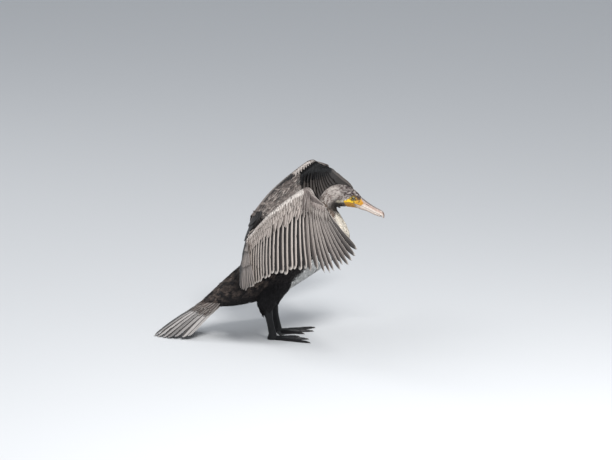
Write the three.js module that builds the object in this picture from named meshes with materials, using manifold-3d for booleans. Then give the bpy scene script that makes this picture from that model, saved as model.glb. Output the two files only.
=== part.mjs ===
// A young cormorant standing with both wings held out to dry, life size, as one still model.
// Millimetres. +Z is up, +X points the way the bird faces and +Y to its left. The floor is Z = 0.
import * as THREE from "three";
import { mergeVertices } from "three/addons/utils/BufferGeometryUtils.js";
import Module from "manifold-3d";

const wasm = await Module();
wasm.setup();

const v3 = (x, y, z) => new THREE.Vector3(x, y, z);
const mix = (a, b, t) => a + (b - a) * t;

// Driving dimensions shared by several parts.
const GAP = 0.3; // left between two nodes that touch
const TRUNK_SIDES = 18; // facets round the trunk, neck and head

// The bird's outline in its middle plane, from the tail root to the base of the bill.
// Each station gives a point of the back line, one of the belly line, and half the width there.
const STATIONS = {
  tailRoot: { back: [-176, 97], belly: [-150, 75], half: 21 },
  rump: { back: [-136, 135], belly: [-108, 76], half: 34 },
  loin: { back: [-92, 175], belly: [-55, 86], half: 47 },
  hip: { back: [-42, 212], belly: [2, 103], half: 57 },
  waist: { back: [12, 250], belly: [60, 138], half: 64 },
  chest: { back: [56, 280], belly: [116, 176], half: 66 },
  shoulder: { back: [86, 299], belly: [160, 212], half: 58 },
  breast: { back: [98, 312], belly: [178, 243], half: 47 },
  neckBase: { back: [101, 321], belly: [173, 271], half: 36 },
  neckMiddle: { back: [102, 329], belly: [159, 297], half: 27 },
  throat: { back: [103, 338], belly: [146, 318], half: 21 },
  nape: { back: [109, 353], belly: [148, 324], half: 21 },
  hindHead: { back: [120, 366], belly: [154, 325], half: 22 },
  crown: { back: [136, 376], belly: [164, 325], half: 23.5 },
  cheek: { back: [155, 379.5], belly: [175, 324], half: 23 },
  brow: { back: [174, 375], belly: [187, 322.5], half: 19.5 },
  forehead: { back: [192, 364.5], belly: [197, 320.5], half: 14 },
  billBase: { back: [206, 350], belly: [204, 318], half: 10 },
};
const NAMES = Object.keys(STATIONS);

// A closed mesh over rings of points that all have the same count. In a thin plate the strips
// of the lower face take the other diagonal, so that both faces are split alike.
function skin(rings, plate = false) {
  const count = rings[0].length;
  const positions = rings.flat().flatMap((p) => [p.x, p.y, p.z]);
  const index = [];
  for (let i = 0; i + 1 < rings.length; i++) {
    for (let j = 0; j < count; j++) {
      const a = i * count + j;
      const b = i * count + ((j + 1) % count);
      if (plate && j >= count / 2) index.push(a, b, a + count, b, b + count, a + count);
      else index.push(a, b, b + count, a, b + count, a + count);
    }
  }
  const last = (rings.length - 1) * count;
  for (let j = 1; j + 1 < count; j++) {
    const [p, q] = plate ? capPair(j, count) : [[0, j + 1, j], [0, j, j + 1]];
    index.push(...p, ...q.map((k) => k + last));
  }
  const geometry = new THREE.BufferGeometry();
  geometry.setAttribute("position", new THREE.Float32BufferAttribute(positions, 3));
  geometry.setIndex(index);
  return facingOut(geometry);
}

// The two end faces of a plate are cut into slices across it, top point against bottom point.
function capPair(j, count) {
  const row = (j - 1) >> 1;
  const top = row;
  const bottom = count - 1 - row;
  const tri = j % 2 ? [top, bottom, top + 1] : [top + 1, bottom, bottom - 1];
  return [tri, [tri[0], tri[2], tri[1]]];
}

// Turns every face round if the mesh is inside out.
function facingOut(geometry) {
  const p = geometry.getAttribute("position");
  const index = geometry.getIndex();
  const at = (k) => v3().fromBufferAttribute(p, index.getX(k));
  let volume = 0;
  for (let k = 0; k < index.count; k += 3) volume += at(k).dot(at(k + 1).cross(at(k + 2)));
  if (volume < 0) {
    for (let k = 0; k < index.count; k += 3) {
      const first = index.getX(k);
      index.setX(k, index.getX(k + 1));
      index.setX(k + 1, first);
    }
  }
  return geometry;
}

function toSolid(geometry) {
  const position = geometry.getAttribute("position");
  return new wasm.Manifold(
    new wasm.Mesh({
      numProp: 3,
      vertProperties: new Float32Array(position.array),
      triVerts: new Uint32Array(geometry.getIndex().array),
    }),
  );
}

const unite = (geometries) => wasm.Manifold.union(geometries.map(toSolid));

// The biggest closed piece of a solid: cuts may leave loose scraps.
function largest(solid) {
  return solid.decompose().sort((a, b) => b.volume() - a.volume())[0];
}

function toGeometry(solid) {
  const mesh = solid.getMesh();
  const geometry = new THREE.BufferGeometry();
  geometry.setAttribute("position", new THREE.Float32BufferAttribute(mesh.vertProperties, 3));
  geometry.setIndex(new THREE.BufferAttribute(new Uint32Array(mesh.triVerts), 1));
  return geometry;
}

// Catmull-Rom curve through points, read by the station number.
function through(points) {
  const curve = new THREE.CatmullRomCurve3(points, false, "catmullrom", 0.5);
  return (station) => curve.getPoint(THREE.MathUtils.clamp(station / (points.length - 1), 0, 1));
}

const backAt = through(NAMES.map((n) => v3(STATIONS[n].back[0], STATIONS[n].half, STATIONS[n].back[1])));
const bellyAt = through(NAMES.map((n) => v3(STATIONS[n].belly[0], 0, STATIONS[n].belly[1])));

// One ring of the bird's outline at a station: an egg section, fuller below than above.
function trunkRing(station, grow = 0) {
  const top = backAt(station);
  const half = top.y + grow;
  top.y = 0;
  const middle = top.clone().add(bellyAt(station)).multiplyScalar(0.5);
  const rise = top.clone().sub(middle);
  rise.setLength(rise.length() + grow);
  return Array.from({ length: TRUNK_SIDES }, (_, j) => {
    const angle = (2 * Math.PI * j) / TRUNK_SIDES;
    const fuller = 1 - 0.1 * Math.cos(angle);
    return middle
      .clone()
      .addScaledVector(rise, Math.cos(angle))
      .add(v3(0, half * Math.sin(angle) * fuller, 0));
  });
}

// A length of the trunk between two named stations. Its first ring stands GAP off the one before.
function trunkLength(from, to, steps, grow = 0) {
  const start = NAMES.indexOf(from);
  const end = NAMES.indexOf(to);
  const rings = Array.from({ length: steps + 1 }, (_, i) => trunkRing(mix(start, end, i / steps), grow));
  const [a, b, c] = [0, 4, 9].map((j) => rings[0][j]);
  const along = b.clone().sub(a).cross(c.clone().sub(a)).normalize();
  if (along.dot(rings[1][0].clone().sub(a)) < 0) along.negate();
  rings[0].forEach((p) => p.addScaledVector(along, GAP));
  return skin(rings);
}

// What lies against the trunk is cut back by a copy of it that is larger by GAP.
const trunkCutter = toSolid(trunkLength("tailRoot", "neckMiddle", 27, GAP));

// An arched ring: half an ellipse over a flat base, from side to side.
function archRing(base, rise, side, half, count) {
  return Array.from({ length: count }, (_, j) => {
    const angle = (Math.PI * j) / (count - 1);
    return base
      .clone()
      .addScaledVector(side, half * Math.cos(angle))
      .addScaledVector(rise, Math.sin(angle));
  });
}

const SIDEWAYS = v3(0, 1, 0);

// How far forward a bill half starts at a height: GAP in front of the face that ends the head.
function faceOfHead(z) {
  const { back, belly } = STATIONS.billBase;
  return GAP + mix(belly[0], back[0], (z - belly[1]) / (back[1] - belly[1]));
}

// Bill halves: [outer edge x, z, mouth edge x, z, half width]. The upper one ends in a hook.
const UPPER_BILL = [
  [faceOfHead(348.5), 348.5, faceOfHead(328.2), 328.2, 9.4],
  [222, 335.5, 220, 320.6, 7.4],
  [240, 323.5, 237, 311.8, 5.9],
  [252, 317, 249, 305.8, 5.3],
  [259, 312.5, 254.5, 303, 4.8],
  [263, 305, 257.5, 301, 3.2],
  [262.5, 296, 259.5, 295, 1.1],
];
const LOWER_BILL = [
  [faceOfHead(317.2), 317.2, faceOfHead(327.8), 327.8, 8.6],
  [220, 312.5, 219.7, 320.2, 6.6],
  [237, 304.4, 236.7, 311.4, 5.2],
  [249, 299.6, 248.8, 305.4, 4.3],
  [254.4, 299, 254.2, 302.6, 2.8],
];

function billHalf(rows) {
  return skin(
    rows.map(([outX, outZ, mouthX, mouthZ, half]) => {
      const base = v3(mouthX, 0, mouthZ);
      return archRing(base, v3(outX, 0, outZ).sub(base), SIDEWAYS, half, 9);
    }),
  );
}

// A small box with its long axis along a direction in the middle plane, for slits and grooves.
function bar(centre, length, width, height, pitch) {
  const geometry = new THREE.BoxGeometry(length, width, height);
  geometry.rotateY(pitch);
  geometry.translate(centre.x, centre.y, centre.z);
  return merged(geometry);
}

// Vertices shared by position, as the solids need.
function merged(geometry) {
  const plain = new THREE.BufferGeometry();
  plain.setAttribute("position", geometry.getAttribute("position"));
  plain.setIndex(geometry.getIndex());
  return mergeVertices(plain, 1e-4);
}

const EYE = { x: 186.5, out: 14.2, z: 347.5, radius: 5.2 };

function eyeball(side, radius) {
  const ball = new THREE.SphereGeometry(radius, 12, 8);
  ball.rotateX(Math.PI / 2);
  ball.translate(EYE.x, side * EYE.out, EYE.z);
  return merged(ball);
}

// A ring of lid round the eye, lying in the side of the head.
function eyelids(side) {
  const lid = new THREE.TorusGeometry(EYE.radius * 0.92, 1.1, 5, 12);
  lid.rotateX(Math.PI / 2);
  lid.translate(EYE.x, side * (EYE.out + 2.6), EYE.z);
  return merged(lid);
}

// The head has a socket and lids for each eye, and the mouth line cut back below the eye.
const GAPE = { from: [206, 328], to: [172, 333.5], width: 0.8 };

function headSolid() {
  const flesh = unite([trunkLength("nape", "billBase", 11), eyelids(1), eyelids(-1)]);
  const run = Math.hypot(GAPE.from[0] - GAPE.to[0], GAPE.from[1] - GAPE.to[1]);
  const pitch = Math.atan2(GAPE.to[1] - GAPE.from[1], GAPE.from[0] - GAPE.to[0]);
  const cuts = [-1, 1].flatMap((side) => {
    const centre = v3((GAPE.from[0] + GAPE.to[0]) / 2 + 1, side * 16.5, (GAPE.from[1] + GAPE.to[1]) / 2);
    return [eyeball(side, EYE.radius + GAP), bar(centre, run, 12, GAPE.width, pitch)];
  });
  return largest(flesh.subtract(unite(cuts)));
}

const NOSTRIL = { x: 222, out: 7.2, z: 326.5, length: 13, height: 0.8, depth: 2.4, pitch: 0.52 };

function upperBillSolid() {
  const { x, out, z, length, height, depth, pitch } = NOSTRIL;
  const slits = [-1, 1].map((side) => bar(v3(x, side * out, z), length, depth, height, pitch));
  return largest(toSolid(billHalf(UPPER_BILL)).subtract(unite(slits)));
}

// Legs: heel and foot as [x, y] with the heel's height. The right leg stands a little further back.
const LEGS = {
  left: { side: 1, heel: [-10, 35], foot: [1, 40] },
  right: { side: -1, heel: [-24, 35], foot: [-11, 40] },
};
const HEEL_HEIGHT = 74;
const ANKLE_TOP = 14; // where the shank meets the foot

function ellipse(centre, alongX, alongY, sides = 12) {
  return Array.from({ length: sides }, (_, j) => {
    const angle = (2 * Math.PI * j) / sides;
    return v3(centre.x + alongX * Math.cos(angle), centre.y + alongY * Math.sin(angle), centre.z);
  });
}

// Feathered thigh: [height, forward of the heel, half length, half width] from inside the belly down.
const THIGH = [
  [165, 38, 36, 20],
  [128, 18, 37, 23],
  [104, 5, 31, 20],
  [88, 0, 23, 15.5],
  [HEEL_HEIGHT, 0, 14.5, 10.5],
];

function thighSolid(leg) {
  const [x, y] = leg.heel;
  const rings = THIGH.map(([z, forward, long, wide]) => {
    const centre = v3(x + forward, leg.side * y, z);
    return ellipse(centre, long, wide, 14);
  });
  return largest(toSolid(skin(rings)).subtract(trunkCutter));
}

// Bare shank: [share of the way down, half depth, half width].
const SHANK = [
  [0, 12, 8.2],
  [0.12, 11.4, 7.6],
  [0.4, 8.6, 5.6],
  [0.75, 8.4, 5.8],
  [1, 9.6, 7.4],
];

function shank(leg) {
  return skin(
    SHANK.map(([t, deep, wide]) => {
      const x = mix(leg.heel[0], leg.foot[0], t);
      const y = mix(leg.heel[1], leg.foot[1], t);
      const z = mix(HEEL_HEIGHT - GAP, ANKLE_TOP + GAP, t);
      return ellipse(v3(x, leg.side * y, z), deep, wide, 10);
    }),
  );
}

// Toes of one webbed foot: degrees outward from straight ahead, length, and half width at the root.
const TOES = [
  { name: "hind", turn: -78, length: 40, half: 4.4 },
  { name: "inner", turn: -21, length: 62, half: 5.2 },
  { name: "middle", turn: 3, length: 80, half: 5.4 },
  { name: "outer", turn: 26, length: 94, half: 5 },
];
const WEB_THICK = 1.6;
const WEB_SCALLOP = 0.86; // how far out the web's edge reaches between two toes
const CLAW = { length: 10, half: 2, rise: 4.4 };

// A point on the floor at a distance along a toe's line.
function alongToe(leg, turn, distance) {
  const angle = THREE.MathUtils.degToRad(turn);
  return v3(
    leg.foot[0] + distance * Math.cos(angle),
    leg.side * (leg.foot[1] + distance * Math.sin(angle)),
    0,
  );
}

// Arched rings along a toe: each row is [distance, half width, height of the top, height of the base].
function toeSkin(leg, turn, rows, count = 7) {
  const ahead = alongToe(leg, turn, 1).sub(alongToe(leg, turn, 0));
  const side = v3(-ahead.y, ahead.x, 0);
  return skin(
    rows.map(([distance, half, rise, base]) =>
      archRing(alongToe(leg, turn, distance).setZ(base), v3(0, 0, rise), side, half, count),
    ),
  );
}

function toe(leg, { turn, length, half }) {
  return toeSkin(leg, turn, [
    [-3, half * 1.15, half * 2, 0],
    [length * 0.3, half * 0.88, half * 1.5, 0],
    [length * 0.36, half * 0.98, half * 1.6, 0],
    [length * 0.66, half * 0.72, half * 1.25, 0],
    [length * 0.72, half * 0.8, half * 1.3, 0],
    [length, CLAW.half * 1.25, CLAW.rise * 1.15, 0],
  ]);
}

function web(leg, a, b) {
  const corner = alongToe(leg, a.turn, 0);
  const [tipA, tipB] = [a, b].map((t) => alongToe(leg, t.turn, t.length * 0.94));
  const middle = tipA.clone().add(tipB).multiplyScalar(0.5);
  const pull = corner.clone().lerp(middle, 2 * WEB_SCALLOP - 1);
  const shape = new THREE.Shape();
  shape.moveTo(corner.x, corner.y);
  shape.lineTo(tipA.x, tipA.y);
  shape.quadraticCurveTo(pull.x, pull.y, tipB.x, tipB.y);
  shape.closePath();
  const plate = { depth: WEB_THICK, bevelEnabled: false, curveSegments: 6 };
  return merged(new THREE.ExtrudeGeometry(shape, plate));
}

function footSolid(leg) {
  const [x, y] = leg.foot;
  const knuckle = skin(
    [
      [0, 12.5, 9.5],
      [6, 12.2, 9.2],
      [ANKLE_TOP, 9.6, 7.4],
    ].map(([z, deep, wide]) => ellipse(v3(x, leg.side * y, z), deep, wide, 10)),
  );
  const webs = TOES.slice(1).map((t, i) => web(leg, TOES[i], t));
  return largest(unite([knuckle, ...TOES.map((t) => toe(leg, t)), ...webs]));
}

function claw(leg, { turn, length }) {
  const { half, rise } = CLAW;
  const start = length + GAP;
  return toeSkin(
    leg,
    turn,
    [
      [start, half, rise, 0.4],
      [start + CLAW.length * 0.5, half * 0.75, rise * 0.72, 1],
      [start + CLAW.length * 0.85, half * 0.4, rise * 0.4, 0.7],
      [start + CLAW.length, half * 0.15, rise * 0.12, 0],
    ],
    5,
  );
}

// Wings, each as [x, distance out, z]. Five stations run from the elbow (0) over the wrist (1) to
// the wing's end (2): "bones" along the arm, "tips" where the flight feathers end. The tertials fan
// round the elbow, and the scapulars lie from the upper arm along the side of the back.
const WINGS = {
  right: {
    side: -1,
    shoulder: [86, 44, 266],
    bones: [
      [-61, 125, 278],
      [-6, 139, 342],
      [71, 151, 402],
      [93, 200, 393],
      [113, 247, 378],
    ],
    tips: [
      [-43, 200, 181],
      [12, 225, 210],
      [76, 262, 222],
      [149, 365, 246],
      [196, 440, 314],
    ],
    tertialTips: [
      [-88, 72, 186],
      [-84, 134, 146],
      [-52, 194, 172],
    ],
  },
  left: {
    side: 1,
    shoulder: [86, 44, 266],
    bones: [
      [-52, 125, 281],
      [2, 139, 344],
      [78, 151, 404],
      [103, 200, 393],
      [125, 247, 374],
    ],
    tips: [
      [-36, 200, 186],
      [24, 225, 212],
      [86, 262, 222],
      [148, 365, 232],
      [189, 440, 280],
    ],
    tertialTips: [
      [-82, 72, 188],
      [-80, 132, 160],
      [-46, 194, 178],
    ],
  },
};
const WING_BOW = 0.06; // how far a feather arches up from its chord, as a share of its length
const DORSAL = [-0.6, 0.5, 0.6]; // the upper side of a wing faces about this way

const place = (side, [x, out, z]) => v3(x, side * out, z);

// A row of feathers that all root along one line and end along another, both read by station from
// first to last. Gives places on the row's upper surface, and unit vectors there: along a feather,
// across it towards the last station, and up, and the way from one feather to the next.
function fan({ roots, ends, first, last, bow, upper }) {
  const at = (line, s) => line(((s - first) / (last - first)) * (roots.length - 1));
  const [rootLine, endLine] = [through(roots), through(ends)];
  const inside = (s) => THREE.MathUtils.clamp(s, first, last);
  const chordAt = (s) => at(endLine, s).sub(at(rootLine, s));
  const bowAt = (s) => {
    const along = at(endLine, inside(s + 0.15)).sub(at(endLine, inside(s - 0.15)));
    const normal = along.cross(chordAt(s)).normalize();
    return normal.dot(upper) < 0 ? normal.negate() : normal;
  };
  const base = (s, share) => {
    const chord = chordAt(s);
    const arch = bow * chord.length() * 4 * share * (1 - share);
    return at(rootLine, s).addScaledVector(chord, share).addScaledVector(bowAt(s), arch);
  };
  const axes = (s, share) => {
    const along = base(s, share + 0.02).sub(base(s, share - 0.02)).normalize();
    const [before, after] = [inside(s - 0.03), inside(s + 0.03)];
    const across = base(after, share).sub(base(before, share));
    across.addScaledVector(along, -across.dot(along)).normalize();
    const up = across.clone().cross(along);
    return { along, across, up: up.dot(bowAt(s)) < 0 ? up.negate() : up };
  };
  const surface = (s, share, lift = 0) => base(s, share).addScaledVector(axes(s, share).up, lift);
  const step = (s, size, share) => {
    const start = THREE.MathUtils.clamp(s, first + Math.max(-size, 0), last - Math.max(size, 0));
    return base(start + size, share).sub(base(start, share));
  };
  return { chordAt, surface, axes, step };
}

// Outlines of a feather: rows of [share of its length, share of its width].
const LONG_VANE = [
  [0, 0.3],
  [0.25, 0.84],
  [0.62, 1],
  [0.88, 0.78],
  [1, 0.22],
];
const POINTED_VANE = [
  [0, 0.2],
  [0.25, 0.78],
  [0.55, 1],
  [0.84, 0.66],
  [1, 0.12],
];
const SHORT_VANE = [
  [0, 0.4],
  [0.5, 1],
  [0.84, 0.82],
  [1, 0.26],
];

// One feather as a thin closed plate that tapers to its tip. It is tilted, outer edge up, just so
// far that it passes over the next feather, which is "step" stations further out.
const CLEAR = 0.45; // left between two feathers that overlap
const FLATTEST = 0.11; // least and greatest tilt, as rise over width
const STEEPEST = 0.45;

function vane(row, s, form, grow = 0) {
  const { from, to, width, lift, thick, outline, step, side = 1 } = form;
  const rings = outline.map(([t, share]) => {
    const c = mix(from, to, t);
    const { up, across } = row.axes(s, c);
    const toNext = row.step(s, step, c);
    const rising = (thick + CLEAR + side * toNext.dot(up)) / Math.abs(toNext.dot(across));
    const tilt = side * THREE.MathUtils.clamp(rising, FLATTEST, STEEPEST);
    const flat = across.clone().addScaledVector(up, tilt).normalize();
    const rise = up.clone().addScaledVector(across, -tilt).normalize();
    const centre = row.surface(s, c, mix(...lift, t));
    const half = (width * share) / 2 + grow;
    const deep = thick / 2 + grow;
    const corner = (a, b) => centre.clone().addScaledVector(flat, a * half).addScaledVector(rise, b * deep);
    return [corner(-1, 1), corner(1, 1), corner(1, -1), corner(-1, -1)];
  });
  return skin(rings, true);
}

// Repeatable small differences between feathers.
let seed = 20;
function vary(amount) {
  seed = (seed * 16807) % 2147483647;
  return 1 + amount * ((2 * seed) / 2147483647 - 1);
}

// The fleshy arm inside the wing: an oval section that starts at the bone's line and lies behind
// it. Each measure is given at the arm's near end and at its far end.
const ARMS = {
  fore: { from: 0, to: 1, steps: 4, deep: [14, 12.5], thick: [10, 9] },
  hand: { from: 1, to: 2, steps: 4, deep: [12.5, 6], thick: [9, 5] },
};

const ARM_SIDES = 8;

function armTube(row, form, grow = 0) {
  const rings = Array.from({ length: form.steps + 1 }, (_, i) => {
    const t = i / form.steps;
    const s = mix(form.from, form.to, t);
    const deep = mix(...form.deep, t);
    const share = deep / row.chordAt(s).length();
    const centre = row.surface(s, share);
    const { along, up, across } = row.axes(s, share);
    if (i === 0) centre.addScaledVector(across, GAP - 2 * grow);
    if (i === form.steps) centre.addScaledVector(across, grow);
    return Array.from({ length: ARM_SIDES }, (_, j) => {
      const angle = (2 * Math.PI * j) / ARM_SIDES;
      return centre
        .clone()
        .addScaledVector(along, (deep + grow) * Math.cos(angle))
        .addScaledVector(up, (mix(...form.thick, t) + grow) * Math.sin(angle));
    });
  });
  return skin(rings);
}

// Tiers of feathers: how many between two stations, where they start as shares of the arm's half
// depth behind the bone at its two ends, where they end as a share of the way to the tips, and
// their shape. The lift above the row's surface is given at the root and at the tip.
const FLIGHT = { to: 1, lift: [0, 0], thick: 0.7 };
const COVERT = { thick: 0.6, outline: SHORT_VANE };
const TIERS = {
  fore: [
    { ...FLIGHT, count: 13, span: [0.04, 0.97], width: 19, root: [1, 1], outline: LONG_VANE },
    { ...COVERT, count: 13, span: [0.05, 0.97], width: 17.5, root: [0.9, 0.9], to: 0.44, lift: [3, 3.6] },
    { ...COVERT, count: 12, span: [0.05, 0.95], width: 17.5, root: [0.8, 0.8], to: 0.25, lift: [5.6, 7] },
  ],
  hand: [
    { ...FLIGHT, count: 10, span: [1.06, 1.97], width: 24, root: [1.5, 0.7], outline: POINTED_VANE },
    { ...COVERT, count: 10, span: [1.07, 1.95], width: 17, root: [1.4, 0.6], to: 0.34, lift: [2.8, 3.6] },
    { ...COVERT, count: 3, span: [1.04, 1.2], width: 19, root: [0.7, 0.7], to: 0.38, lift: [5.4, 7.6] },
  ],
};

function tierVanes(row, tier, arm, grow) {
  const step = (tier.span[1] - tier.span[0]) / (tier.count - 1);
  return Array.from({ length: tier.count }, (_, i) => {
    const s = tier.span[0] + i * step;
    const t = (s - arm.from) / (arm.to - arm.from);
    const from = (mix(...tier.root, t) * mix(...arm.deep, t)) / row.chordAt(s).length();
    return vane(row, s, { ...tier, from, to: tier.to * vary(0.02), step }, grow);
  });
}

// Upper arm with the fold of skin in front of it, from inside the shoulder to the forearm's line.
const INNER_WING = { steps: 6, from: -0.04, to: 1.03, nose: 2.4, arm: [15, 11], behind: 14, pull: 0.12 };

function innerWing(row, shoulder) {
  const { steps, from, to, nose, arm, behind, pull } = INNER_WING;
  const elbow = row.surface(0, 0);
  const wrist = row.surface(0.86, 0.03);
  const bone = elbow.clone().sub(shoulder);
  const up = wrist.clone().sub(elbow).cross(bone).normalize();
  if (up.z < 0) up.negate();
  const back = bone.clone().cross(up).normalize();
  if (back.dot(wrist.clone().sub(elbow)) > 0) back.negate();
  const rings = Array.from({ length: steps + 1 }, (_, i) => {
    const t = mix(from, to, i / steps);
    const centre = shoulder.clone().addScaledVector(bone, t);
    const edge = shoulder.clone().lerp(wrist, t).addScaledVector(back, -6 * (1 - t));
    const front = edge.lerp(centre, pull * 4 * t * (1 - t));
    const middle = front.clone().lerp(centre, 0.55);
    const radius = mix(...arm, t);
    const rear = centre.clone().addScaledVector(back, behind);
    return [
      front.clone().addScaledVector(up, nose),
      middle.clone().addScaledVector(up, mix(nose, radius, 0.45)),
      centre.clone().addScaledVector(up, radius),
      rear.clone().addScaledVector(up, radius * 0.4),
      rear.clone().addScaledVector(up, -radius * 0.4),
      centre.clone().addScaledVector(up, -radius),
      middle.clone().addScaledVector(up, -mix(nose, radius, 0.45)),
      front.clone().addScaledVector(up, -nose),
    ];
  });
  return skin(rings, true);
}

// Feathers of the upper arm. Tertials root in a short row behind the elbow; their places are given
// from the elbow. Scapulars root on top of the upper arm near the shoulder.
const TERTIALS = {
  roots: [
    [18, -16, 6],
    [7, -6, 5],
    [0, 6, -2],
  ],
  tiers: [
    { ...COVERT, count: 5, width: 32, to: 1, lift: [2, 4.6], thick: 0.7, outline: LONG_VANE },
    { ...COVERT, count: 4, width: 30, to: 0.5, lift: [5, 8], thick: 0.6 },
  ],
};
const SCAPULARS = {
  roots: [
    [47, 56, 277],
    [40, 69, 274],
    [30, 83, 268],
  ],
  ends: [
    [-66, 40, 204],
    [-72, 74, 206],
    [-62, 108, 212],
  ],
  tiers: [
    { ...COVERT, count: 4, width: 30, to: 1, lift: [0, 2], thick: 0.7, outline: LONG_VANE },
    { ...COVERT, count: 4, width: 26, to: 0.55, lift: [2.6, 5], thick: 0.6 },
  ],
};

const ROW_MARGIN = 0.04; // from a short row's end to its first feather

function armFan(wing, { roots, ends, tiers }) {
  const row = fan({
    roots: roots.map((p) => place(wing.side, p)),
    ends: ends.map((p) => place(wing.side, p)),
    first: 0,
    last: 1,
    bow: WING_BOW,
    upper: place(wing.side, [-0.7, 0.3, 0.6]),
  });
  return tiers.flatMap((tier) => {
    const step = (1 - 2 * ROW_MARGIN) / (tier.count - 1);
    return Array.from({ length: tier.count }, (_, i) =>
      vane(row, ROW_MARGIN + i * step, { ...tier, from: 0, to: tier.to * vary(0.02), step }),
    );
  });
}

// The three nodes of a wing. Where feathers of two nodes meet, the forearm's keep their shape.
function wingParts(wing) {
  const row = fan({
    roots: wing.bones.map((p) => place(wing.side, p)),
    ends: wing.tips.map((p) => place(wing.side, p)),
    first: 0,
    last: 2,
    bow: WING_BOW,
    upper: place(wing.side, DORSAL),
  });
  const feathered = (name, grow = 0) =>
    unite([
      armTube(row, ARMS[name], grow),
      ...TIERS[name].flatMap((tier) => tierVanes(row, tier, ARMS[name], grow)),
    ]);
  const elbow = wing.bones[0];
  const tertialRoots = TERTIALS.roots.map(([x, out, z]) => [elbow[0] + x, elbow[1] + out, elbow[2] + z]);
  const start = seed;
  const fore = feathered("fore");
  seed = start;
  const foreGrown = feathered("fore", GAP);
  const upper = unite([
    innerWing(row, place(wing.side, wing.shoulder)),
    ...armFan(wing, { ...TERTIALS, roots: tertialRoots, ends: wing.tertialTips }),
    ...armFan(wing, SCAPULARS),
  ]);
  return {
    upper: largest(upper.subtract(foreGrown).subtract(trunkCutter)),
    fore: largest(fore),
    hand: largest(feathered("hand").subtract(foreGrown)),
  };
}

// Tail: a roof-shaped fan. Roots and tips run from the left outer feather over the middle, whose
// feathers are longest and reach the floor, to the right outer one.
const TAIL = {
  bow: 0.03,
  reach: 0.97,
  roots: [
    [-146, 23, 80],
    [-160, 13, 88],
    [-164, 0, 90],
  ],
  tips: [
    [-214, 52, 10],
    [-268, 32, 5],
    [-302, 0, 0.8],
  ],
};
const TAIL_TIERS = [
  { count: 14, width: 17, to: 1, lift: [0, 0], thick: 0.7, outline: LONG_VANE, side: 1 },
  { count: 6, width: 20, to: 0.36, lift: [3, 3.6], thick: 0.7, outline: SHORT_VANE, side: 1 },
  { count: 6, width: 20, to: 0.34, lift: [-3, -3.6], thick: 0.7, outline: SHORT_VANE, side: -1 },
];

function tailSolid() {
  const both = ([outer, inner, middle]) => [
    v3(...outer),
    v3(...inner),
    v3(...middle),
    place(-1, inner),
    place(-1, outer),
  ];
  const row = fan({
    roots: both(TAIL.roots),
    ends: both(TAIL.tips),
    first: -1,
    last: 1,
    bow: TAIL.bow,
    upper: v3(-0.3, 0, 1),
  });
  const vanes = TAIL_TIERS.flatMap((tier) => {
    const step = (2 * TAIL.reach) / (tier.count - 1);
    return Array.from({ length: tier.count }, (_, i) => {
      const s = i * step - TAIL.reach;
      const side = tier.side * Math.sign(s);
      return vane(row, s, { ...tier, from: 0, to: tier.to * vary(0.015), step, side });
    });
  });
  const core = skin([0, 0.5, 1].map(tailRing));
  return largest(unite([core, ...vanes]).subtract(trunkCutter).trimByPlane([0, 0, 1], 0));
}

// The fleshy tail root: it carries on from the end of the trunk and flattens out round the roots.
const TAIL_ROOT = { length: 36, wider: 1.24, thinner: 0.36, sag: 8 };

function tailRing(t) {
  const ring = trunkRing(0).filter((_, j) => j % 2 === 0);
  const centre = ring.reduce((sum, p) => sum.add(p), v3(0, 0, 0)).divideScalar(ring.length);
  const towards = v3(...TAIL.tips[2]).sub(centre).setLength(TAIL_ROOT.length * t);
  return ring.map((p) => {
    const offset = p.clone().sub(centre);
    const sideways = offset.y * mix(1, TAIL_ROOT.wider, t);
    const sag = TAIL_ROOT.sag * t * (offset.y / STATIONS.tailRoot.half) ** 2;
    offset.setY(0).multiplyScalar(mix(1, TAIL_ROOT.thinner, t));
    return centre.clone().add(towards).add(offset).add(v3(0, sideways, -sag));
  });
}

// The origin is on the floor below the middle of the box around the bird.
const ORIGIN = { ahead: 19.6, left: 2 };
const bird = new THREE.Group();
bird.position.set(ORIGIN.ahead, ORIGIN.left, 0);

function addNode(name, solid, material) {
  const mesh = new THREE.Mesh(toGeometry(solid), material);
  mesh.name = name;
  bird.add(mesh);
}

function look(color, roughness, metalness = 0) {
  return new THREE.MeshStandardMaterial({ color, roughness, metalness });
}

const MATERIALS = {
  body: look(0x2b2724, 0.7),
  breast: look(0x8d8378, 0.8),
  head: look(0x8a7d73, 0.8),
  flight: look(0x6f655f, 0.6),
  horn: look(0xc9b7a4, 0.4),
  eye: look(0x1e2c2a, 0.1),
  leg: look(0x17181a, 0.5),
  claw: look(0x2c2825, 0.35),
};

addNode("torso", toSolid(trunkLength("tailRoot", "neckBase", 24)), MATERIALS.body);
addNode("neck", toSolid(trunkLength("neckBase", "nape", 8)), MATERIALS.breast);
addNode("head", headSolid(), MATERIALS.head);
addNode("bill_upper", upperBillSolid(), MATERIALS.horn);
addNode("bill_lower", toSolid(billHalf(LOWER_BILL)), MATERIALS.horn);
for (const [name, leg] of Object.entries(LEGS)) {
  addNode(`eye_${name}`, toSolid(eyeball(leg.side, EYE.radius)), MATERIALS.eye);
  addNode(`thigh_${name}`, thighSolid(leg), MATERIALS.body);
  addNode(`shank_${name}`, toSolid(shank(leg)), MATERIALS.leg);
  addNode(`foot_${name}`, footSolid(leg), MATERIALS.leg);
  for (const t of TOES) addNode(`claw_${t.name}_${name}`, toSolid(claw(leg, t)), MATERIALS.claw);
}
for (const [name, wing] of Object.entries(WINGS)) {
  const parts = wingParts(wing);
  addNode(`wing_upper_${name}`, parts.upper, MATERIALS.flight);
  addNode(`wing_fore_${name}`, parts.fore, MATERIALS.flight);
  addNode(`wing_hand_${name}`, parts.hand, MATERIALS.flight);
}
addNode("tail", tailSolid(), MATERIALS.flight);

export default bird;
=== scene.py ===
import math

import bmesh
import bpy
import numpy as np
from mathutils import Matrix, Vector, noise
from mathutils.kdtree import KDTree


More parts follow.
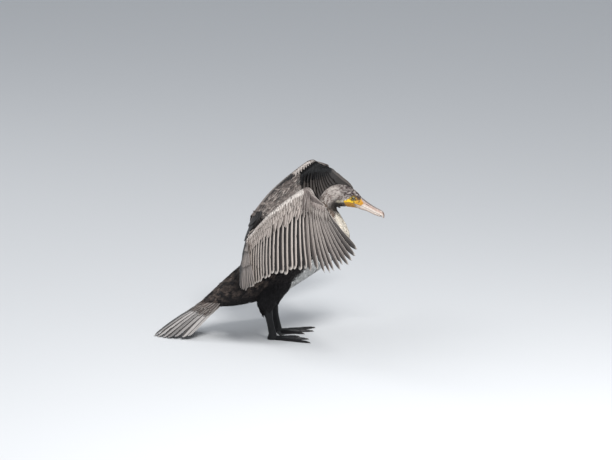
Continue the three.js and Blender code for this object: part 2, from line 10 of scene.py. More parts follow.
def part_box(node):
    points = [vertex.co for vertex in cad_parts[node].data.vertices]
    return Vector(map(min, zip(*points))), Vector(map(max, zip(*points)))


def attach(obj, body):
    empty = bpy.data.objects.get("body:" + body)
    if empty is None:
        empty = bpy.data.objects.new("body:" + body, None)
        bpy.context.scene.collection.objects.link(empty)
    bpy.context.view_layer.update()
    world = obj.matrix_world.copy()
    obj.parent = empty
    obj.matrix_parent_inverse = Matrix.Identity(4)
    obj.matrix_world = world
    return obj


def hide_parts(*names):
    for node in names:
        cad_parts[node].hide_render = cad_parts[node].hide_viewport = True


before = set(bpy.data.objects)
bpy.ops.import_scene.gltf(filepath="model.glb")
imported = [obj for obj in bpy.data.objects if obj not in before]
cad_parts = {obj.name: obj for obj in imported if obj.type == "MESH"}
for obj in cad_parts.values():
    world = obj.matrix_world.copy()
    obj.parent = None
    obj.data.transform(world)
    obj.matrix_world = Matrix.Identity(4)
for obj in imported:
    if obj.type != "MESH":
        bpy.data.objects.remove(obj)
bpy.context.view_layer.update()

# The studio: an even, pale floor and soft light, with the camera where the photograph was taken
# from, far off to the bird's right and a little above it. The picture is 612 by 460 pixels,
# and one pixel is 2.45 mm on the bird.
PICTURE = (612, 460)
METRES_PER_PIXEL = 0.00245
VIEW_DISTANCE = 20.0
VIEW_RISE = math.radians(12)
PICTURE_CENTRE = Vector((0.0907, 0.002, 0.2655))
SENSOR_MM = 36.0

camera_data = bpy.data.cameras.new("camera")
camera_data.sensor_width = SENSOR_MM
camera_data.lens = SENSOR_MM * VIEW_DISTANCE / (PICTURE[0] * METRES_PER_PIXEL)
camera_data.clip_end = 200.0
camera = bpy.data.objects.new("camera", camera_data)
bpy.context.scene.collection.objects.link(camera)
to_camera = Vector((0, -math.cos(VIEW_RISE), math.sin(VIEW_RISE)))
camera.location = PICTURE_CENTRE + to_camera * VIEW_DISTANCE
camera.rotation_euler = (-to_camera).to_track_quat("-Z", "Y").to_euler()
bpy.context.scene.camera = camera
bpy.context.scene.view_settings.view_transform = "Standard"


def linear(red, green, blue):
    """A colour given as a screen shows it, from 0 to 255, as the linear numbers that shaders take."""
    shown = np.array([red, green, blue]) / 255
    return np.where(shown <= 0.04045, shown / 12.92, ((shown + 0.055) / 1.055) ** 2.4)


def new_material(name, roughness, **sockets):
    """A material and its Principled shader."""
    material = bpy.data.materials.new(name)
    material.use_nodes = True
    shader = material.node_tree.nodes["Principled BSDF"]
    shader.inputs["Roughness"].default_value = roughness
    for socket, value in sockets.items():
        shader.inputs[socket.replace("_", " ")].default_value = value
    return material, shader


def show(name, mesh, *materials):
    """Puts a finished mesh into the scene as a piece."""
    piece = bpy.data.objects.new(name, mesh)
    for material in materials:
        mesh.materials.append(material)
    bpy.context.scene.collection.objects.link(piece)
    return piece


FLOOR_SIZE = 60.0
FLOOR_COLOUR = linear(214, 215, 216)
floor_material, floor_shader = new_material("floor", 0.8)
floor_shader.inputs["Base Color"].default_value = (*FLOOR_COLOUR, 1)
floor_mesh = bmesh.new()
bmesh.ops.create_grid(floor_mesh, x_segments=1, y_segments=1, size=FLOOR_SIZE)
floor_data = bpy.data.meshes.new("floor")
floor_mesh.to_mesh(floor_data)
floor_mesh.free()
floor = show("floor", floor_data, floor_material)

SKY_STRENGTH = 0.55
SKY_COLOUR = linear(226, 232, 240)
sky = bpy.data.worlds.new("sky")
sky.use_nodes = True
backdrop = sky.node_tree.nodes["Background"]
backdrop.inputs["Color"].default_value = (*SKY_COLOUR, 1)
backdrop.inputs["Strength"].default_value = SKY_STRENGTH
bpy.context.scene.world = sky

for lamp_name, at, size, watts in (("key", (0.9, -2.4, 3.0), 1.2, 150), ("rim", (-2.2, 1.8, 2.6), 1.6, 22)):
    lamp_data = bpy.data.lights.new(lamp_name, "AREA")
    lamp_data.size = size
    lamp_data.energy = watts
    lamp_object = bpy.data.objects.new(lamp_name, lamp_data)
    lamp_object.location = at
    lamp_object.rotation_euler = (Vector(at) - PICTURE_CENTRE).to_track_quat("Z", "Y").to_euler()
    bpy.context.scene.collection.objects.link(lamp_object)


# The bird's own shape under its feathers: one closed skin over the tail root, body, neck and head,
# with the thighs and the bones of both wings grown into it. It lies deeper than the outline of the
# plumage by the depth of the coat, which is thick on the body and very short on the face.
TRUNK = {  # back line x and z, belly line x and z, half width, depth of the coat there
    "tail root": (-0.176, 0.097, -0.150, 0.075, 0.021, 0.003),
    "rump": (-0.136, 0.135, -0.108, 0.076, 0.034, 0.005),
    "loin": (-0.092, 0.175, -0.055, 0.086, 0.047, 0.006),
    "hip": (-0.042, 0.212, 0.002, 0.103, 0.057, 0.006),
    "waist": (0.012, 0.250, 0.060, 0.138, 0.064, 0.006),
    "chest": (0.056, 0.280, 0.116, 0.176, 0.066, 0.006),
    "shoulder": (0.086, 0.299, 0.160, 0.212, 0.058, 0.006),
    "breast": (0.098, 0.312, 0.178, 0.243, 0.047, 0.006),
    "neck base": (0.101, 0.321, 0.173, 0.271, 0.036, 0.005),
    "neck middle": (0.102, 0.329, 0.159, 0.297, 0.027, 0.004),
    "throat": (0.103, 0.338, 0.146, 0.318, 0.021, 0.003),
    "nape": (0.109, 0.353, 0.148, 0.324, 0.021, 0.0025),
    "hind head": (0.120, 0.366, 0.154, 0.325, 0.022, 0.002),
    "crown": (0.136, 0.376, 0.164, 0.325, 0.0235, 0.0016),
    "cheek": (0.155, 0.3795, 0.175, 0.324, 0.023, 0.0012),
    "brow": (0.174, 0.375, 0.187, 0.3225, 0.0195, 0.0008),
    "forehead": (0.192, 0.3645, 0.197, 0.3205, 0.014, 0.0006),
    "bill base": (0.206, 0.350, 0.204, 0.318, 0.010, 0.0004),
}
BILL_TIP = 0.263  # forward of the point that the sizes of the bird are measured from
torso_low, torso_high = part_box("torso")
STAND = np.array([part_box("bill_upper")[1].x - BILL_TIP, (torso_low.y + torso_high.y) / 2, 0.0])


def unit(vectors):
    return vectors / np.linalg.norm(vectors, axis=-1, keepdims=True)


def smooth_line(points):
    """A curve through given points, read by the point's number, and straight past its ends."""
    p = np.array(points, float)
    last = len(p) - 1
    p = np.vstack([2 * p[0] - p[1], p, 2 * p[-1] - p[-2]])

    def at(number):
        number = np.asarray(number, float)
        inside = np.clip(number, 0, last)
        i = np.minimum(inside.astype(int), last - 1)
        t = (inside - i)[..., None]
        a, b, c, d = p[i], p[i + 1], p[i + 2], p[i + 3]
        curve = 2 * b + (c - a) * t + (2 * a - 5 * b + 4 * c - d) * t**2 + (3 * b - a - 3 * c + d) * t**3
        slope = (c - a) / 2 + (2 * a - 5 * b + 4 * c - d) * t + (3 * b - a - 3 * c + d) * 1.5 * t**2
        return curve / 2 + slope * (number - inside)[..., None]

    return at


trunk_line = smooth_line(list(TRUNK.values()))
TRUNK_LAST = len(TRUNK) - 1
FULLER_BELOW = 0.1  # the body is wider towards the belly than towards the back


def trunk(u, v, sunk=0.0):
    """The bird's outline. u is 0 at the tail root and 1 at the bill; v goes round from the back over
    the left side (0.25) and the belly (0.5). sunk is the share of the coat's depth to lie below it."""
    back_x, back_z, belly_x, belly_z, half, coat = np.moveaxis(trunk_line(np.asarray(u) * TRUNK_LAST), -1, 0)
    angle = 2 * np.pi * np.asarray(v)
    rise_x, rise_z = (back_x - belly_x) / 2, (back_z - belly_z) / 2
    rise = np.hypot(rise_x, rise_z)
    share = np.cos(angle) * (1 - sunk * coat / rise)
    fuller = 1 - FULLER_BELOW * np.cos(angle)
    x = (back_x + belly_x) / 2 + rise_x * share
    y = (half - sunk * coat) * np.sin(angle) * fuller
    z = (back_z + belly_z) / 2 + rise_z * share
    return np.stack(np.broadcast_arrays(x, y, z), -1) + STAND


def grid_mesh(across, along, place):
    """A closed tube as a bmesh: place(x, y) sets its points, x and y from 0 to 1. Its seam is sewn
    and both of its ends are filled."""
    bm = bmesh.new()
    bmesh.ops.create_grid(bm, x_segments=across, y_segments=along, size=0.5)
    bm.verts.ensure_lookup_table()
    flat = np.array([v.co for v in bm.verts])
    for v, co in zip(bm.verts, place(flat[:, 0] + 0.5, flat[:, 1] + 0.5)):
        v.co = co
    bmesh.ops.remove_doubles(bm, verts=bm.verts, dist=1e-6)
    bmesh.ops.holes_fill(bm, edges=bm.edges, sides=0)
    bmesh.ops.recalc_face_normals(bm, faces=bm.faces)
    return bm


def to_mesh(name, bm):
    mesh = bpy.data.meshes.new(name)
    bm.to_mesh(mesh)
    bm.free()
    mesh.shade_smooth()
    return mesh


# the rings of the skin stand closest together on the head, then on the neck
RING_U = np.array([0, 0.5, 0.65, 1])
RING_SHARE = np.array([0, 0.28, 0.45, 1])


def trunk_skin(x, y):
    return trunk(np.interp(y, RING_SHARE, RING_U), x, sunk=1.0)


LEGS = {
    "left": {"side": 1, "heel": (-0.010, 0.035), "foot": (0.001, 0.040)},
    "right": {"side": -1, "heel": (-0.024, 0.035), "foot": (-0.011, 0.040)},
}
HEEL_HEIGHT = 0.074
THIGH = (  # height, forward of the heel, half length, half width, from inside the belly down
    (0.165, 0.038, 0.036, 0.020),
    (0.128, 0.018, 0.037, 0.023),
    (0.104, 0.005, 0.031, 0.020),
    (0.088, 0.000, 0.023, 0.0155),
    (HEEL_HEIGHT, 0.000, 0.0145, 0.0105),
)
THIGH_COAT = 0.004
thigh_line = smooth_line(THIGH)


def thigh(leg, u, v, sunk=0.0):
    """The outline of a feathered thigh. u is 0 inside the belly and 1 at the heel; v goes round."""
    z, forward, half_long, half_wide = np.moveaxis(thigh_line(np.asarray(u) * (len(THIGH) - 1)), -1, 0)
    angle = 2 * np.pi * np.asarray(v)
    x = leg["heel"][0] + forward + (half_long - sunk * THIGH_COAT) * np.cos(angle)
    y = leg["side"] * leg["heel"][1] + (half_wide - sunk * THIGH_COAT) * np.sin(angle)
    return np.stack(np.broadcast_arrays(x, y, z), -1) + STAND


# wings: each point is x, distance out from the bird's middle plane, z. Bones run from the elbow over
# the wrist to the wing's end, and the flight feathers' tips lie along a line of their own.
SHOULDER = (0.086, 0.044, 0.266)
WINGS = {
    "right": {
        "side": -1,
        "bones": (
            (-0.061, 0.125, 0.278), (-0.006, 0.139, 0.342), (0.071, 0.151, 0.402),
            (0.093, 0.200, 0.393), (0.113, 0.247, 0.378),
        ),
        "tips": (
            (-0.068, 0.168, 0.159), (-0.016, 0.211, 0.196), (0.074, 0.262, 0.222),
            (0.149, 0.365, 0.246), (0.196, 0.440, 0.314),
        ),
        "tertial_tips": ((-0.088, 0.072, 0.186), (-0.084, 0.134, 0.146), (-0.052, 0.194, 0.172)),
    },
    "left": {
        "side": 1,
        "bones": (
            (-0.052, 0.125, 0.281), (0.002, 0.139, 0.344), (0.078, 0.151, 0.404),
            (0.103, 0.200, 0.393), (0.125, 0.247, 0.374),
        ),
        "tips": (
            (-0.062, 0.168, 0.166), (-0.006, 0.211, 0.200), (0.084, 0.262, 0.222),
            (0.148, 0.365, 0.232), (0.189, 0.440, 0.280),
        ),
        "tertial_tips": ((-0.082, 0.072, 0.188), (-0.080, 0.132, 0.160), (-0.046, 0.194, 0.178)),
    },
}
WING_BOW = 0.06  # how far a feather arches up from its chord, as a share of its length
DORSAL = (-0.6, 0.5, 0.6)  # the upper side of a wing faces about this way


def outward(side, points):
    """Points given as x, distance out and z, on one side of the bird."""
    return np.array(points, float) * (1, side, 1)


def placed(side, points):
    """The same points where the bird stands."""
    return outward(side, points) + STAND


class Fan:
    """A row of feathers that root along one line and end along another. s is the station along the
    row, and share the way from a root (0) to the line of the tips (1)."""

    ARCH_REACH, ALONG_REACH, ROW_REACH = 0.15, 0.02, 0.03  # over which the directions are measured

    def __init__(self, roots, ends, first, last, bow, upper):
        self.roots, self.ends = smooth_line(roots), smooth_line(ends)
        self.first, self.last = first, last
        self.numbers = (len(roots) - 1) / (last - first)
        self.bow, self.upper = bow, np.array(upper, float)

    def on(self, line, s):
        return line((s - self.first) * self.numbers)

    def chord(self, s):
        return self.on(self.ends, s) - self.on(self.roots, s)

    def arch(self, s):
        reach = (s + self.ARCH_REACH, s - self.ARCH_REACH)
        ahead, behind = self.on(self.ends, np.clip(reach, self.first, self.last))
        normal = unit(np.cross(ahead - behind, self.chord(s)))
        return np.where((normal @ self.upper)[..., None] < 0, -normal, normal)

    def base(self, s, share):
        s, share = np.broadcast_arrays(np.asarray(s, float), np.asarray(share, float))
        chord = self.chord(s)
        length = np.linalg.norm(chord, axis=-1, keepdims=True)
        t = share[..., None]
        return self.on(self.roots, s) + chord * t + self.arch(s) * self.bow * length * 4 * t * (1 - t)

    def axes(self, s, share):
        """Unit vectors along a feather, across it towards the next station, and up."""
        along = unit(self.base(s, share + self.ALONG_REACH) - self.base(s, share - self.ALONG_REACH))
        ahead = np.clip(s + self.ROW_REACH, self.first, self.last)
        behind = np.clip(s - self.ROW_REACH, self.first, self.last)
        across = self.base(ahead, share) - self.base(behind, share)
        across = unit(across - along * (across * along).sum(-1, keepdims=True))
        up = np.cross(across, along)
        facing = (up * self.arch(np.broadcast_to(s, np.shape(share)))).sum(-1, keepdims=True)
        return along, across, np.where(facing < 0, -up, up)

    def step(self, s, size, share):
        """The way from one feather to the next, which is size further along the row."""
        start = min(max(s, self.first + max(-size, 0)), self.last - max(size, 0))
        return self.base(start + size, share) - self.base(start, share)


wing_fans = {}
for name, wing in WINGS.items():
    bones, tips = (placed(wing["side"], wing[line]) for line in ("bones", "tips"))
    wing_fans[name] = Fan(bones, tips, 0, 2, WING_BOW, outward(wing["side"], DORSAL))
ARM_S = (0.0, 1.0, 2.0)  # elbow, wrist and the wing's end
ARM_DEEP = (0.0125, 0.0105, 0.0045)  # half depth of the arm behind the bones' line, at these three
ARM_THICK = (0.0085, 0.0075, 0.0038)


def arm_skin(row, x, y):
    """The flesh of the forearm and hand: an oval tube that starts at the bones' line."""
    s = 2 * y
    deep, thick = np.interp(s, ARM_S, ARM_DEEP), np.interp(s, ARM_S, ARM_THICK)
    share = deep / np.linalg.norm(row.chord(s), axis=-1)
    along, _, up = row.axes(s, share)
    angle = 2 * np.pi * x
    rise = up * (thick * np.sin(angle))[:, None]
    return row.base(s, share) + along * (deep * np.cos(angle))[:, None] + rise


# the fold of skin in front of the arm: thickness of its front edge and how far that runs ahead of the
# shoulder, radius of the upper arm at shoulder and elbow, skin behind it, and where it meets the wrist
PATAGIUM = {"nose": 0.0016, "ahead": 0.006, "arm": (0.0125, 0.009), "behind": 0.012, "pull": 0.12}
PATAGIUM_WRIST = (0.86, 0.03)
ARM_COAT = 0.0015
INNER_PAST = 0.03  # the fold runs on into the shoulder and the elbow by this share


def inner_wing(wing, row, t, w, sunk=0.0):
    """The fold of skin between shoulder, elbow and wrist with the upper arm at its rear. t is 0 at the
    shoulder and 1 at the elbow; w goes round from the front edge over the upper side (0.25) to the
    rear (0.5) and back below."""
    shoulder = placed(wing["side"], SHOULDER)
    elbow, wrist = row.base(0.0, 0.0), row.base(*PATAGIUM_WRIST)
    bone = elbow - shoulder
    up = unit(np.cross(wrist - elbow, bone))
    up = up if up[2] > 0 else -up
    back = unit(np.cross(bone, up))
    back = back if back @ (wrist - elbow) < 0 else -back
    t, w = np.broadcast_arrays(np.asarray(t, float), np.asarray(w, float))
    t1 = t[..., None]
    centre = shoulder + bone * t1
    edge = shoulder + (wrist - shoulder) * t1 - back * PATAGIUM["ahead"] * (1 - t1)
    front = edge + (centre - edge) * PATAGIUM["pull"] * 4 * t1 * (1 - t1)
    radius = np.interp(t, (0, 1), PATAGIUM["arm"]) - sunk * ARM_COAT
    over = np.where(w > 0.5, 1 - w, w)

    def profile(*values):
        return np.interp(over, (0, 0.02, 0.13, 0.25, 0.37, 0.44, 0.5), values)

    rise = profile(0, 0.6 * PATAGIUM["nose"], 0.0028, 0.0055, 0, 0, 0)
    rise = rise + radius * profile(0, 0, 0.04, 0.28, 1, 0.72, 0)
    reach = profile(0, 0, 0.3, 0.62, 1, 1, 1)[..., None]
    behind = profile(0, 0, 0, 0, 0, 0.7, 1)[..., None]
    point = front + (centre - front) * reach + back * PATAGIUM["behind"] * behind
    return point + up * (np.where(w > 0.5, -1.0, 1.0) * rise)[..., None]


def into(bm, other):
    """Adds one bmesh to another, which is used up."""
    mesh = to_mesh("part", other)
    bm.from_mesh(mesh)
    bpy.data.meshes.remove(mesh)


def one_skin(name, bm, cell, rounds):
    """A bmesh of closed shapes as one closed mesh, made of cells of this size and smoothed; bm is
    used up."""
    spare = bpy.data.objects.new(name, to_mesh(name, bm))
    bpy.context.scene.collection.objects.link(spare)
    remesh = spare.modifiers.new("one skin", "REMESH")
    remesh.mode = "VOXEL"
    remesh.voxel_size = cell
    remesh.use_smooth_shade = True
    smooth = spare.modifiers.new("smooth", "SMOOTH")
    smooth.iterations = rounds
    smooth.factor = 0.5
    evaluated = spare.evaluated_get(bpy.context.evaluated_depsgraph_get())
    mesh = bpy.data.meshes.new_from_object(evaluated)
    bpy.data.objects.remove(spare)
    mesh.materials.clear()
    return mesh


flesh = grid_mesh(112, 250, trunk_skin)
for leg in LEGS.values():
    into(flesh, grid_mesh(36, 40, lambda x, y, leg=leg: thigh(leg, y, x, sunk=1.0)))
for name, wing in WINGS.items():
    row = wing_fans[name]

    def inner_skin(x, y, wing=wing, row=row):
        return inner_wing(wing, row, y * (1 + 2 * INNER_PAST) - INNER_PAST, x, 1.0)

    into(flesh, grid_mesh(24, 90, lambda x, y, row=row: arm_skin(row, x, y)))
    into(flesh, grid_mesh(64, 48, inner_skin))
SKIN_CELL, SKIN_ROUNDS = 0.0021, 4
skin_mesh = one_skin("skin", flesh, SKIN_CELL, SKIN_ROUNDS)


# Markings of a young bird, painted by place: black back, flanks and thighs with worn brown patches,
# white belly, cream breast, and a neck and head of pale grey mottled with brown. Skin and feathers
# share them.
def cloudy(points, size, seed):
    """Soft noise from -1 to 1 over places, with clouds of about this size."""
    shift = Vector((seed * 7.3, seed * 3.1, seed * 5.7))
    return np.array([noise.noise(Vector(p) / size + shift) for p in points]) * 1.6


def step_up(value, low, high):
    """0 below low, 1 above high and smooth between."""
    t = np.clip((value - low) / (high - low), 0, 1)
    return t * t * (3 - 2 * t)


def layered(colours, *layers):
    """Colours with others painted over them; each layer is a mask and a colour."""
    for mask, colour in layers:
        colours = colours + (np.asarray(colour) - colours) * np.asarray(mask)[:, None]
    return colours


CHARCOAL = linear(33, 30, 31)
RUMP_GREY = linear(112, 98, 90)
BELLY_WHITE = linear(222, 222, 220)
CREAM = linear(238, 229, 214)
NECK_BROWN = linear(118, 101, 90)
THROAT_SHADE_GREY = linear(76, 69, 64)
HEAD_PALE = linear(236, 226, 218)
HEAD_BROWN = linear(122, 102, 94)
FOREHEAD_BROWN = linear(66, 50, 50)
CHEEK_CREAM = linear(240, 230, 208)
CHEEK = {"x": 0.159, "z": 0.342, "half_long": 0.009, "half_high": 0.0035}
# how far the white of the belly and breast reaches round from the middle, by station of the trunk
WHITE_STATIONS = (3.1, 3.5, 4.0, 5.0, 6.0, 7.0, 8.0, 9.0, 10.0, 11.1)
WHITE_REACH = (0.0, 0.09, 0.13, 0.2, 0.225, 0.235, 0.22, 0.2, 0.16, 0.0)


def trunk_markings(u, v, points):
    """Colours over the trunk, neck and head."""
    s = u * TRUNK_LAST
    round_from_belly = np.abs((v % 1) - 0.5)
    rough = cloudy(points, 0.012, 1)
    fine = cloudy(points, 0.0038, 2)
    on_back = step_up(round_from_belly, 0.12, 0.26)
    rump = on_back * (1 - step_up(s, 2.8, 3.8)) * (0.3 + 0.7 * rough)
    reach = np.interp(s, WHITE_STATIONS, WHITE_REACH)
    white = step_up(reach + 0.012 * rough - round_from_belly, -0.012, 0.022) * step_up(reach, 0.0, 0.05)
    on_neck = step_up(s + 0.4 * rough, 6.6, 8.2)
    # the throat and chin take a dark grey band of painted shade, the shadow under the head
    throat = step_up(s, 9.7, 10.6) * (1 - step_up(s, 13.2, 14.4)) * step_up(0.3 - round_from_belly, 0.0, 0.12)
    body = layered(
        CHARCOAL,
        (np.clip(rump, 0, 1), RUMP_GREY),
        (on_neck, NECK_BROWN),
        (on_neck * step_up(fine + 0.3 * rough, 0.0, 0.5) * 0.8, HEAD_PALE),
        (white, BELLY_WHITE),
        (white * step_up(s, 6.2, 7.2), CREAM),
        (throat, THROAT_SHADE_GREY),
    )
    on_head = step_up(s + 0.3 * rough, 10.4, 11.6) * (1 - throat)
    pale = np.clip(0.76 + 0.85 * fine + 0.3 * rough, 0, 1)
    brow = step_up(s, 13.2, 14.8) * step_up(round_from_belly, 0.2, 0.3)
    head = layered(HEAD_BROWN, (pale, HEAD_PALE), (brow * np.clip(0.84 - 0.6 * fine, 0, 1), FOREHEAD_BROWN))
    x, _, z = (points - STAND).T
    from_patch = np.hypot((x - CHEEK["x"]) / CHEEK["half_long"], (z - CHEEK["z"]) / CHEEK["half_high"])
    return layered(body, (on_head, head), ((1 - step_up(from_patch, 0.7, 1.3)) * 0.9, CHEEK_CREAM))


def paint(mesh, colours):
    """Stores one colour for each point of a mesh, which the materials read as Plumage."""
    layer = mesh.color_attributes.new("Plumage", "FLOAT_COLOR", "POINT")
    full = np.ones((len(mesh.vertices), 4), np.float32)
    full[:, :3] = colours
    layer.data.foreach_set("color", full.ravel())


PLACES_ALONG, PLACES_ROUND = 200, 60


def trunk_place(points):
    """The nearest u and v of the trunk for points of the skin."""
    u = np.repeat(np.linspace(0, 1, PLACES_ALONG), PLACES_ROUND)
    v = np.tile(np.arange(PLACES_ROUND) / PLACES_ROUND, PLACES_ALONG)
    tree = KDTree(len(u))
    for i, p in enumerate(trunk(u, v, 1.0)):
        tree.insert(p, i)
    tree.balance()
    near = np.array([tree.find(p)[1] for p in points])
    return u[near], v[near]


UNDER_COAT = 0.6  # down and skin between the feathers are darker than their tips


def spots(mesh):
    """The places of a mesh's points."""
    return np.array([v.co for v in mesh.vertices])


skin_points = spots(skin_mesh)
paint(skin_mesh, trunk_markings(*trunk_place(skin_points), skin_points) * UNDER_COAT)


def add_node(tree, kind, **settings):
    """A node with its settings; a setting that names an input socket gives that input's value."""
    made = tree.nodes.new(kind)
    for name, value in settings.items():
        if hasattr(made, name):
            setattr(made, name, value)
        else:
            made.inputs[name.replace("_", " ")].default_value = value
    return made


def join(tree, source, target):
    tree.links.new(source, target)


def new_group(name, takes, gives):
    """A shader node group with its named sockets, and the sockets that its nodes take and give."""
    group = bpy.data.node_groups.new(name, "ShaderNodeTree")
    for way, sockets in (("INPUT", takes), ("OUTPUT", gives)):
        for socket, kind in sockets.items():
            group.interface.new_socket(socket, in_out=way, socket_type=f"NodeSocket{kind}")
    return group, add_node(group, "NodeGroupInput").outputs, add_node(group, "NodeGroupOutput").inputs


def grain_group():
    """The fine grain of skin, horn and eyes: soft noise that mottles the tint and lifts the surface."""
    takes = {"Tint": "Color", "Place": "Vector", "Scale": "Float", "Detail": "Float"}
    takes.update({"Darkest": "Float", "Palest": "Float"})
    group, given, out = new_group("grain", takes, {"Color": "Color", "Height": "Float"})
    grain = add_node(group, "ShaderNodeTexNoise")
    shade = add_node(group, "ShaderNodeMapRange")
    dim = add_node(group, "ShaderNodeVectorMath", operation="SCALE")
    join(group, given["Place"], grain.inputs["Vector"])
    join(group, given["Scale"], grain.inputs["Scale"])
    join(group, given["Detail"], grain.inputs["Detail"])
    join(group, grain.outputs["Fac"], shade.inputs["Value"])
    join(group, given["Darkest"], shade.inputs["To Min"])
    join(group, given["Palest"], shade.inputs["To Max"])
    join(group, given["Tint"], dim.inputs[0])
    join(group, shade.outputs["Result"], dim.inputs["Scale"])
    join(group, dim.outputs[0], out["Color"])
    join(group, grain.outputs["Fac"], out["Height"])
    return group


def painted(name, roughness, group, place, values, relief=None, **sockets):
    """A material in a mesh's painted colours, which pass through a node group with these values.
    place is Object or the name of a UV map, and relief the strength and depth of the group's height."""
    material, shader = new_material(name, roughness, **sockets)
    tree = material.node_tree
    marks = add_node(tree, "ShaderNodeGroup", node_tree=group, **values)
    tint = add_node(tree, "ShaderNodeVertexColor", layer_name="Plumage")
    if place == "Object":
        where = add_node(tree, "ShaderNodeTexCoord").outputs["Object"]
    else:
        where = add_node(tree, "ShaderNodeUVMap", uv_map=place).outputs["UV"]
    join(tree, tint.outputs["Color"], marks.inputs["Tint"])
    join(tree, where, marks.inputs["Place"])
    join(tree, marks.outputs["Color"], shader.inputs["Base Color"])
    if relief:
        raised = add_node(tree, "ShaderNodeBump", Strength=relief[0], Distance=relief[1])
        join(tree, marks.outputs["Height"], raised.inputs["Height"])
        join(tree, raised.outputs["Normal"], shader.inputs["Normal"])
    return material


grain = grain_group()
GRAIN_RELIEF = 0.6


def grained(name, roughness, size, height, mottle, **sockets):
    """A painted material with a fine grain: size and height in metres, and how much it mottles."""
    values = {"Scale": 1 / size, "Detail": 4.0, "Darkest": 1 - mottle, "Palest": 1 + mottle}
    return painted(name, roughness, grain, "Object", values, (GRAIN_RELIEF, height), **sockets)


def wear(name, slot, mesh, *materials):
    """Puts a finished mesh on the bird as a piece."""
    piece = show(name, mesh, *materials)
    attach(piece, "root")
    return piece


skin = wear("skin", "body_feathers", skin_mesh, grained("skin", 0.6, 0.0012, 0.0004, 0.3))
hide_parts("torso", "neck", "head", "thigh_left", "thigh_right")


# Face: bare skin from the bill back past the eye and over the throat pouch, yellow and finely
# wrinkled, with the fold of the gape running back from the mouth and a thick rim round the eye.
FACE_EDGE = (
    (0.208, 0.3425), (0.202, 0.3450), (0.197, 0.3505), (0.192, 0.3545), (0.187, 0.3558), (0.181, 0.3540),
    (0.1765, 0.3495), (0.172, 0.3455), (0.165, 0.3440), (0.1625, 0.338), (0.164, 0.331), (0.170, 0.3265),
    (0.178, 0.318), (0.207, 0.312),
)
EYE = {"x": 0.1865, "out": 0.0142, "z": 0.3475, "radius": 0.0052}
GAPE = ((0.2075, 0.3272), (0.206, 0.3278), (0.197, 0.3315), (0.187, 0.3355), (0.177, 0.338), (0.168, 0.3392))
FACE_FROM = 0.8
FACE_DEEP = 1.25  # below the feathers it lies this many coat depths down, and bare it lies at the outline
BARE_DEEP = 0.3
FOLD = {
    "half": 0.0009, "deep": 0.0007, "lip": 0.0006, "lip_at": 0.0016, "lip_half": 0.0008, "runs_in": 0.004,
}
EYE_RIM = {"at": 0.0062, "half": 0.0010, "high": 0.0008}
EYE_SOCKET = {"deep": 0.002, "edge": (0.003, 0.005)}
POUCH_WRINKLE = {"pitch": 0.0021, "high": 0.00022}
PAPILLA = {"size": 0.0011, "high": 0.00022}
SKIN_YELLOW = linear(232, 190, 34)
SKIN_OCHRE = linear(184, 128, 28)
SKIN_ORANGE = linear(190, 134, 36)
SKIN_OLIVE = linear(74, 62, 40)
SKIN_DARK = linear(52, 42, 40)
SKIN_BLUE = linear(132, 136, 134)
SKIN_PINK = linear(212, 190, 170)


def edge_distance(x, z, outline):
    """How far points lie from a closed outline, positive inside it."""
    inside = np.zeros(np.shape(x), bool)
    nearest = np.full(np.shape(x), 1.0)
    for (ax, az), (bx, bz) in zip(outline, outline[1:] + outline[:1]):
        t = np.clip(((x - ax) * (bx - ax) + (z - az) * (bz - az)) / ((bx - ax) ** 2 + (bz - az) ** 2), 0, 1)
        nearest = np.minimum(nearest, np.hypot(x - ax - t * (bx - ax), z - az - t * (bz - az)))
        if az != bz:
            crosses = (az > z) != (bz > z)
            inside ^= crosses & (x < ax + (z - az) * (bx - ax) / (bz - az))
    return np.where(inside, nearest, -nearest)


def above_gape(x, z):
    """Height over the line of the mouth, which runs on to the rear."""
    line = GAPE[::-1]
    return z - np.interp(x, [p[0] for p in line], [p[1] for p in line])


def sheet_normal(sheet, u, v, small=1e-3):
    side_u = sheet(u + small, v, 0.0) - sheet(u - small, v, 0.0)
    side_v = sheet(u, v + small, 0.0) - sheet(u, v - small, 0.0)
    return unit(np.cross(side_u, side_v))


def bump(value, centre, half):
    return np.exp(-(((value - centre) / half) ** 2))


def face_place(x, y):
    """The bare skin as a sleeve over the front of the head, sunk under the feathers round it."""
    u = FACE_FROM + (1 - FACE_FROM) * y
    flat = trunk(u, x, 0.0) - STAND
    ahead, _, high = flat.T
    bare = step_up(edge_distance(ahead, high, FACE_EDGE), -0.0006, 0.0008)
    over = above_gape(ahead, high)
    from_eye = np.hypot(ahead - EYE["x"], high - EYE["z"])
    behind = step_up(ahead, GAPE[-1][0], GAPE[-1][0] + FOLD["runs_in"])
    lips = bump(over, FOLD["lip_at"], FOLD["lip_half"]) + bump(over, -FOLD["lip_at"], FOLD["lip_half"])
    relief = behind * (FOLD["lip"] * lips - FOLD["deep"] * bump(over, 0, FOLD["half"]))
    relief += EYE_RIM["high"] * bump(from_eye, EYE_RIM["at"], EYE_RIM["half"])
    relief -= EYE_SOCKET["deep"] * (1 - step_up(from_eye, *EYE_SOCKET["edge"]))
    wrinkle = np.sin(2 * np.pi * over / POUCH_WRINKLE["pitch"] + 2.5 * cloudy(flat, 0.006, 4))
    relief += POUCH_WRINKLE["high"] * wrinkle * step_up(-over, 0.002, 0.005)
    relief += PAPILLA["high"] * cloudy(flat, PAPILLA["size"], 5)
    sunk = FACE_DEEP + (BARE_DEEP - FACE_DEEP) * bare
    return trunk(u, x, sunk) + sheet_normal(trunk, u, x) * (relief * bare)[:, None]


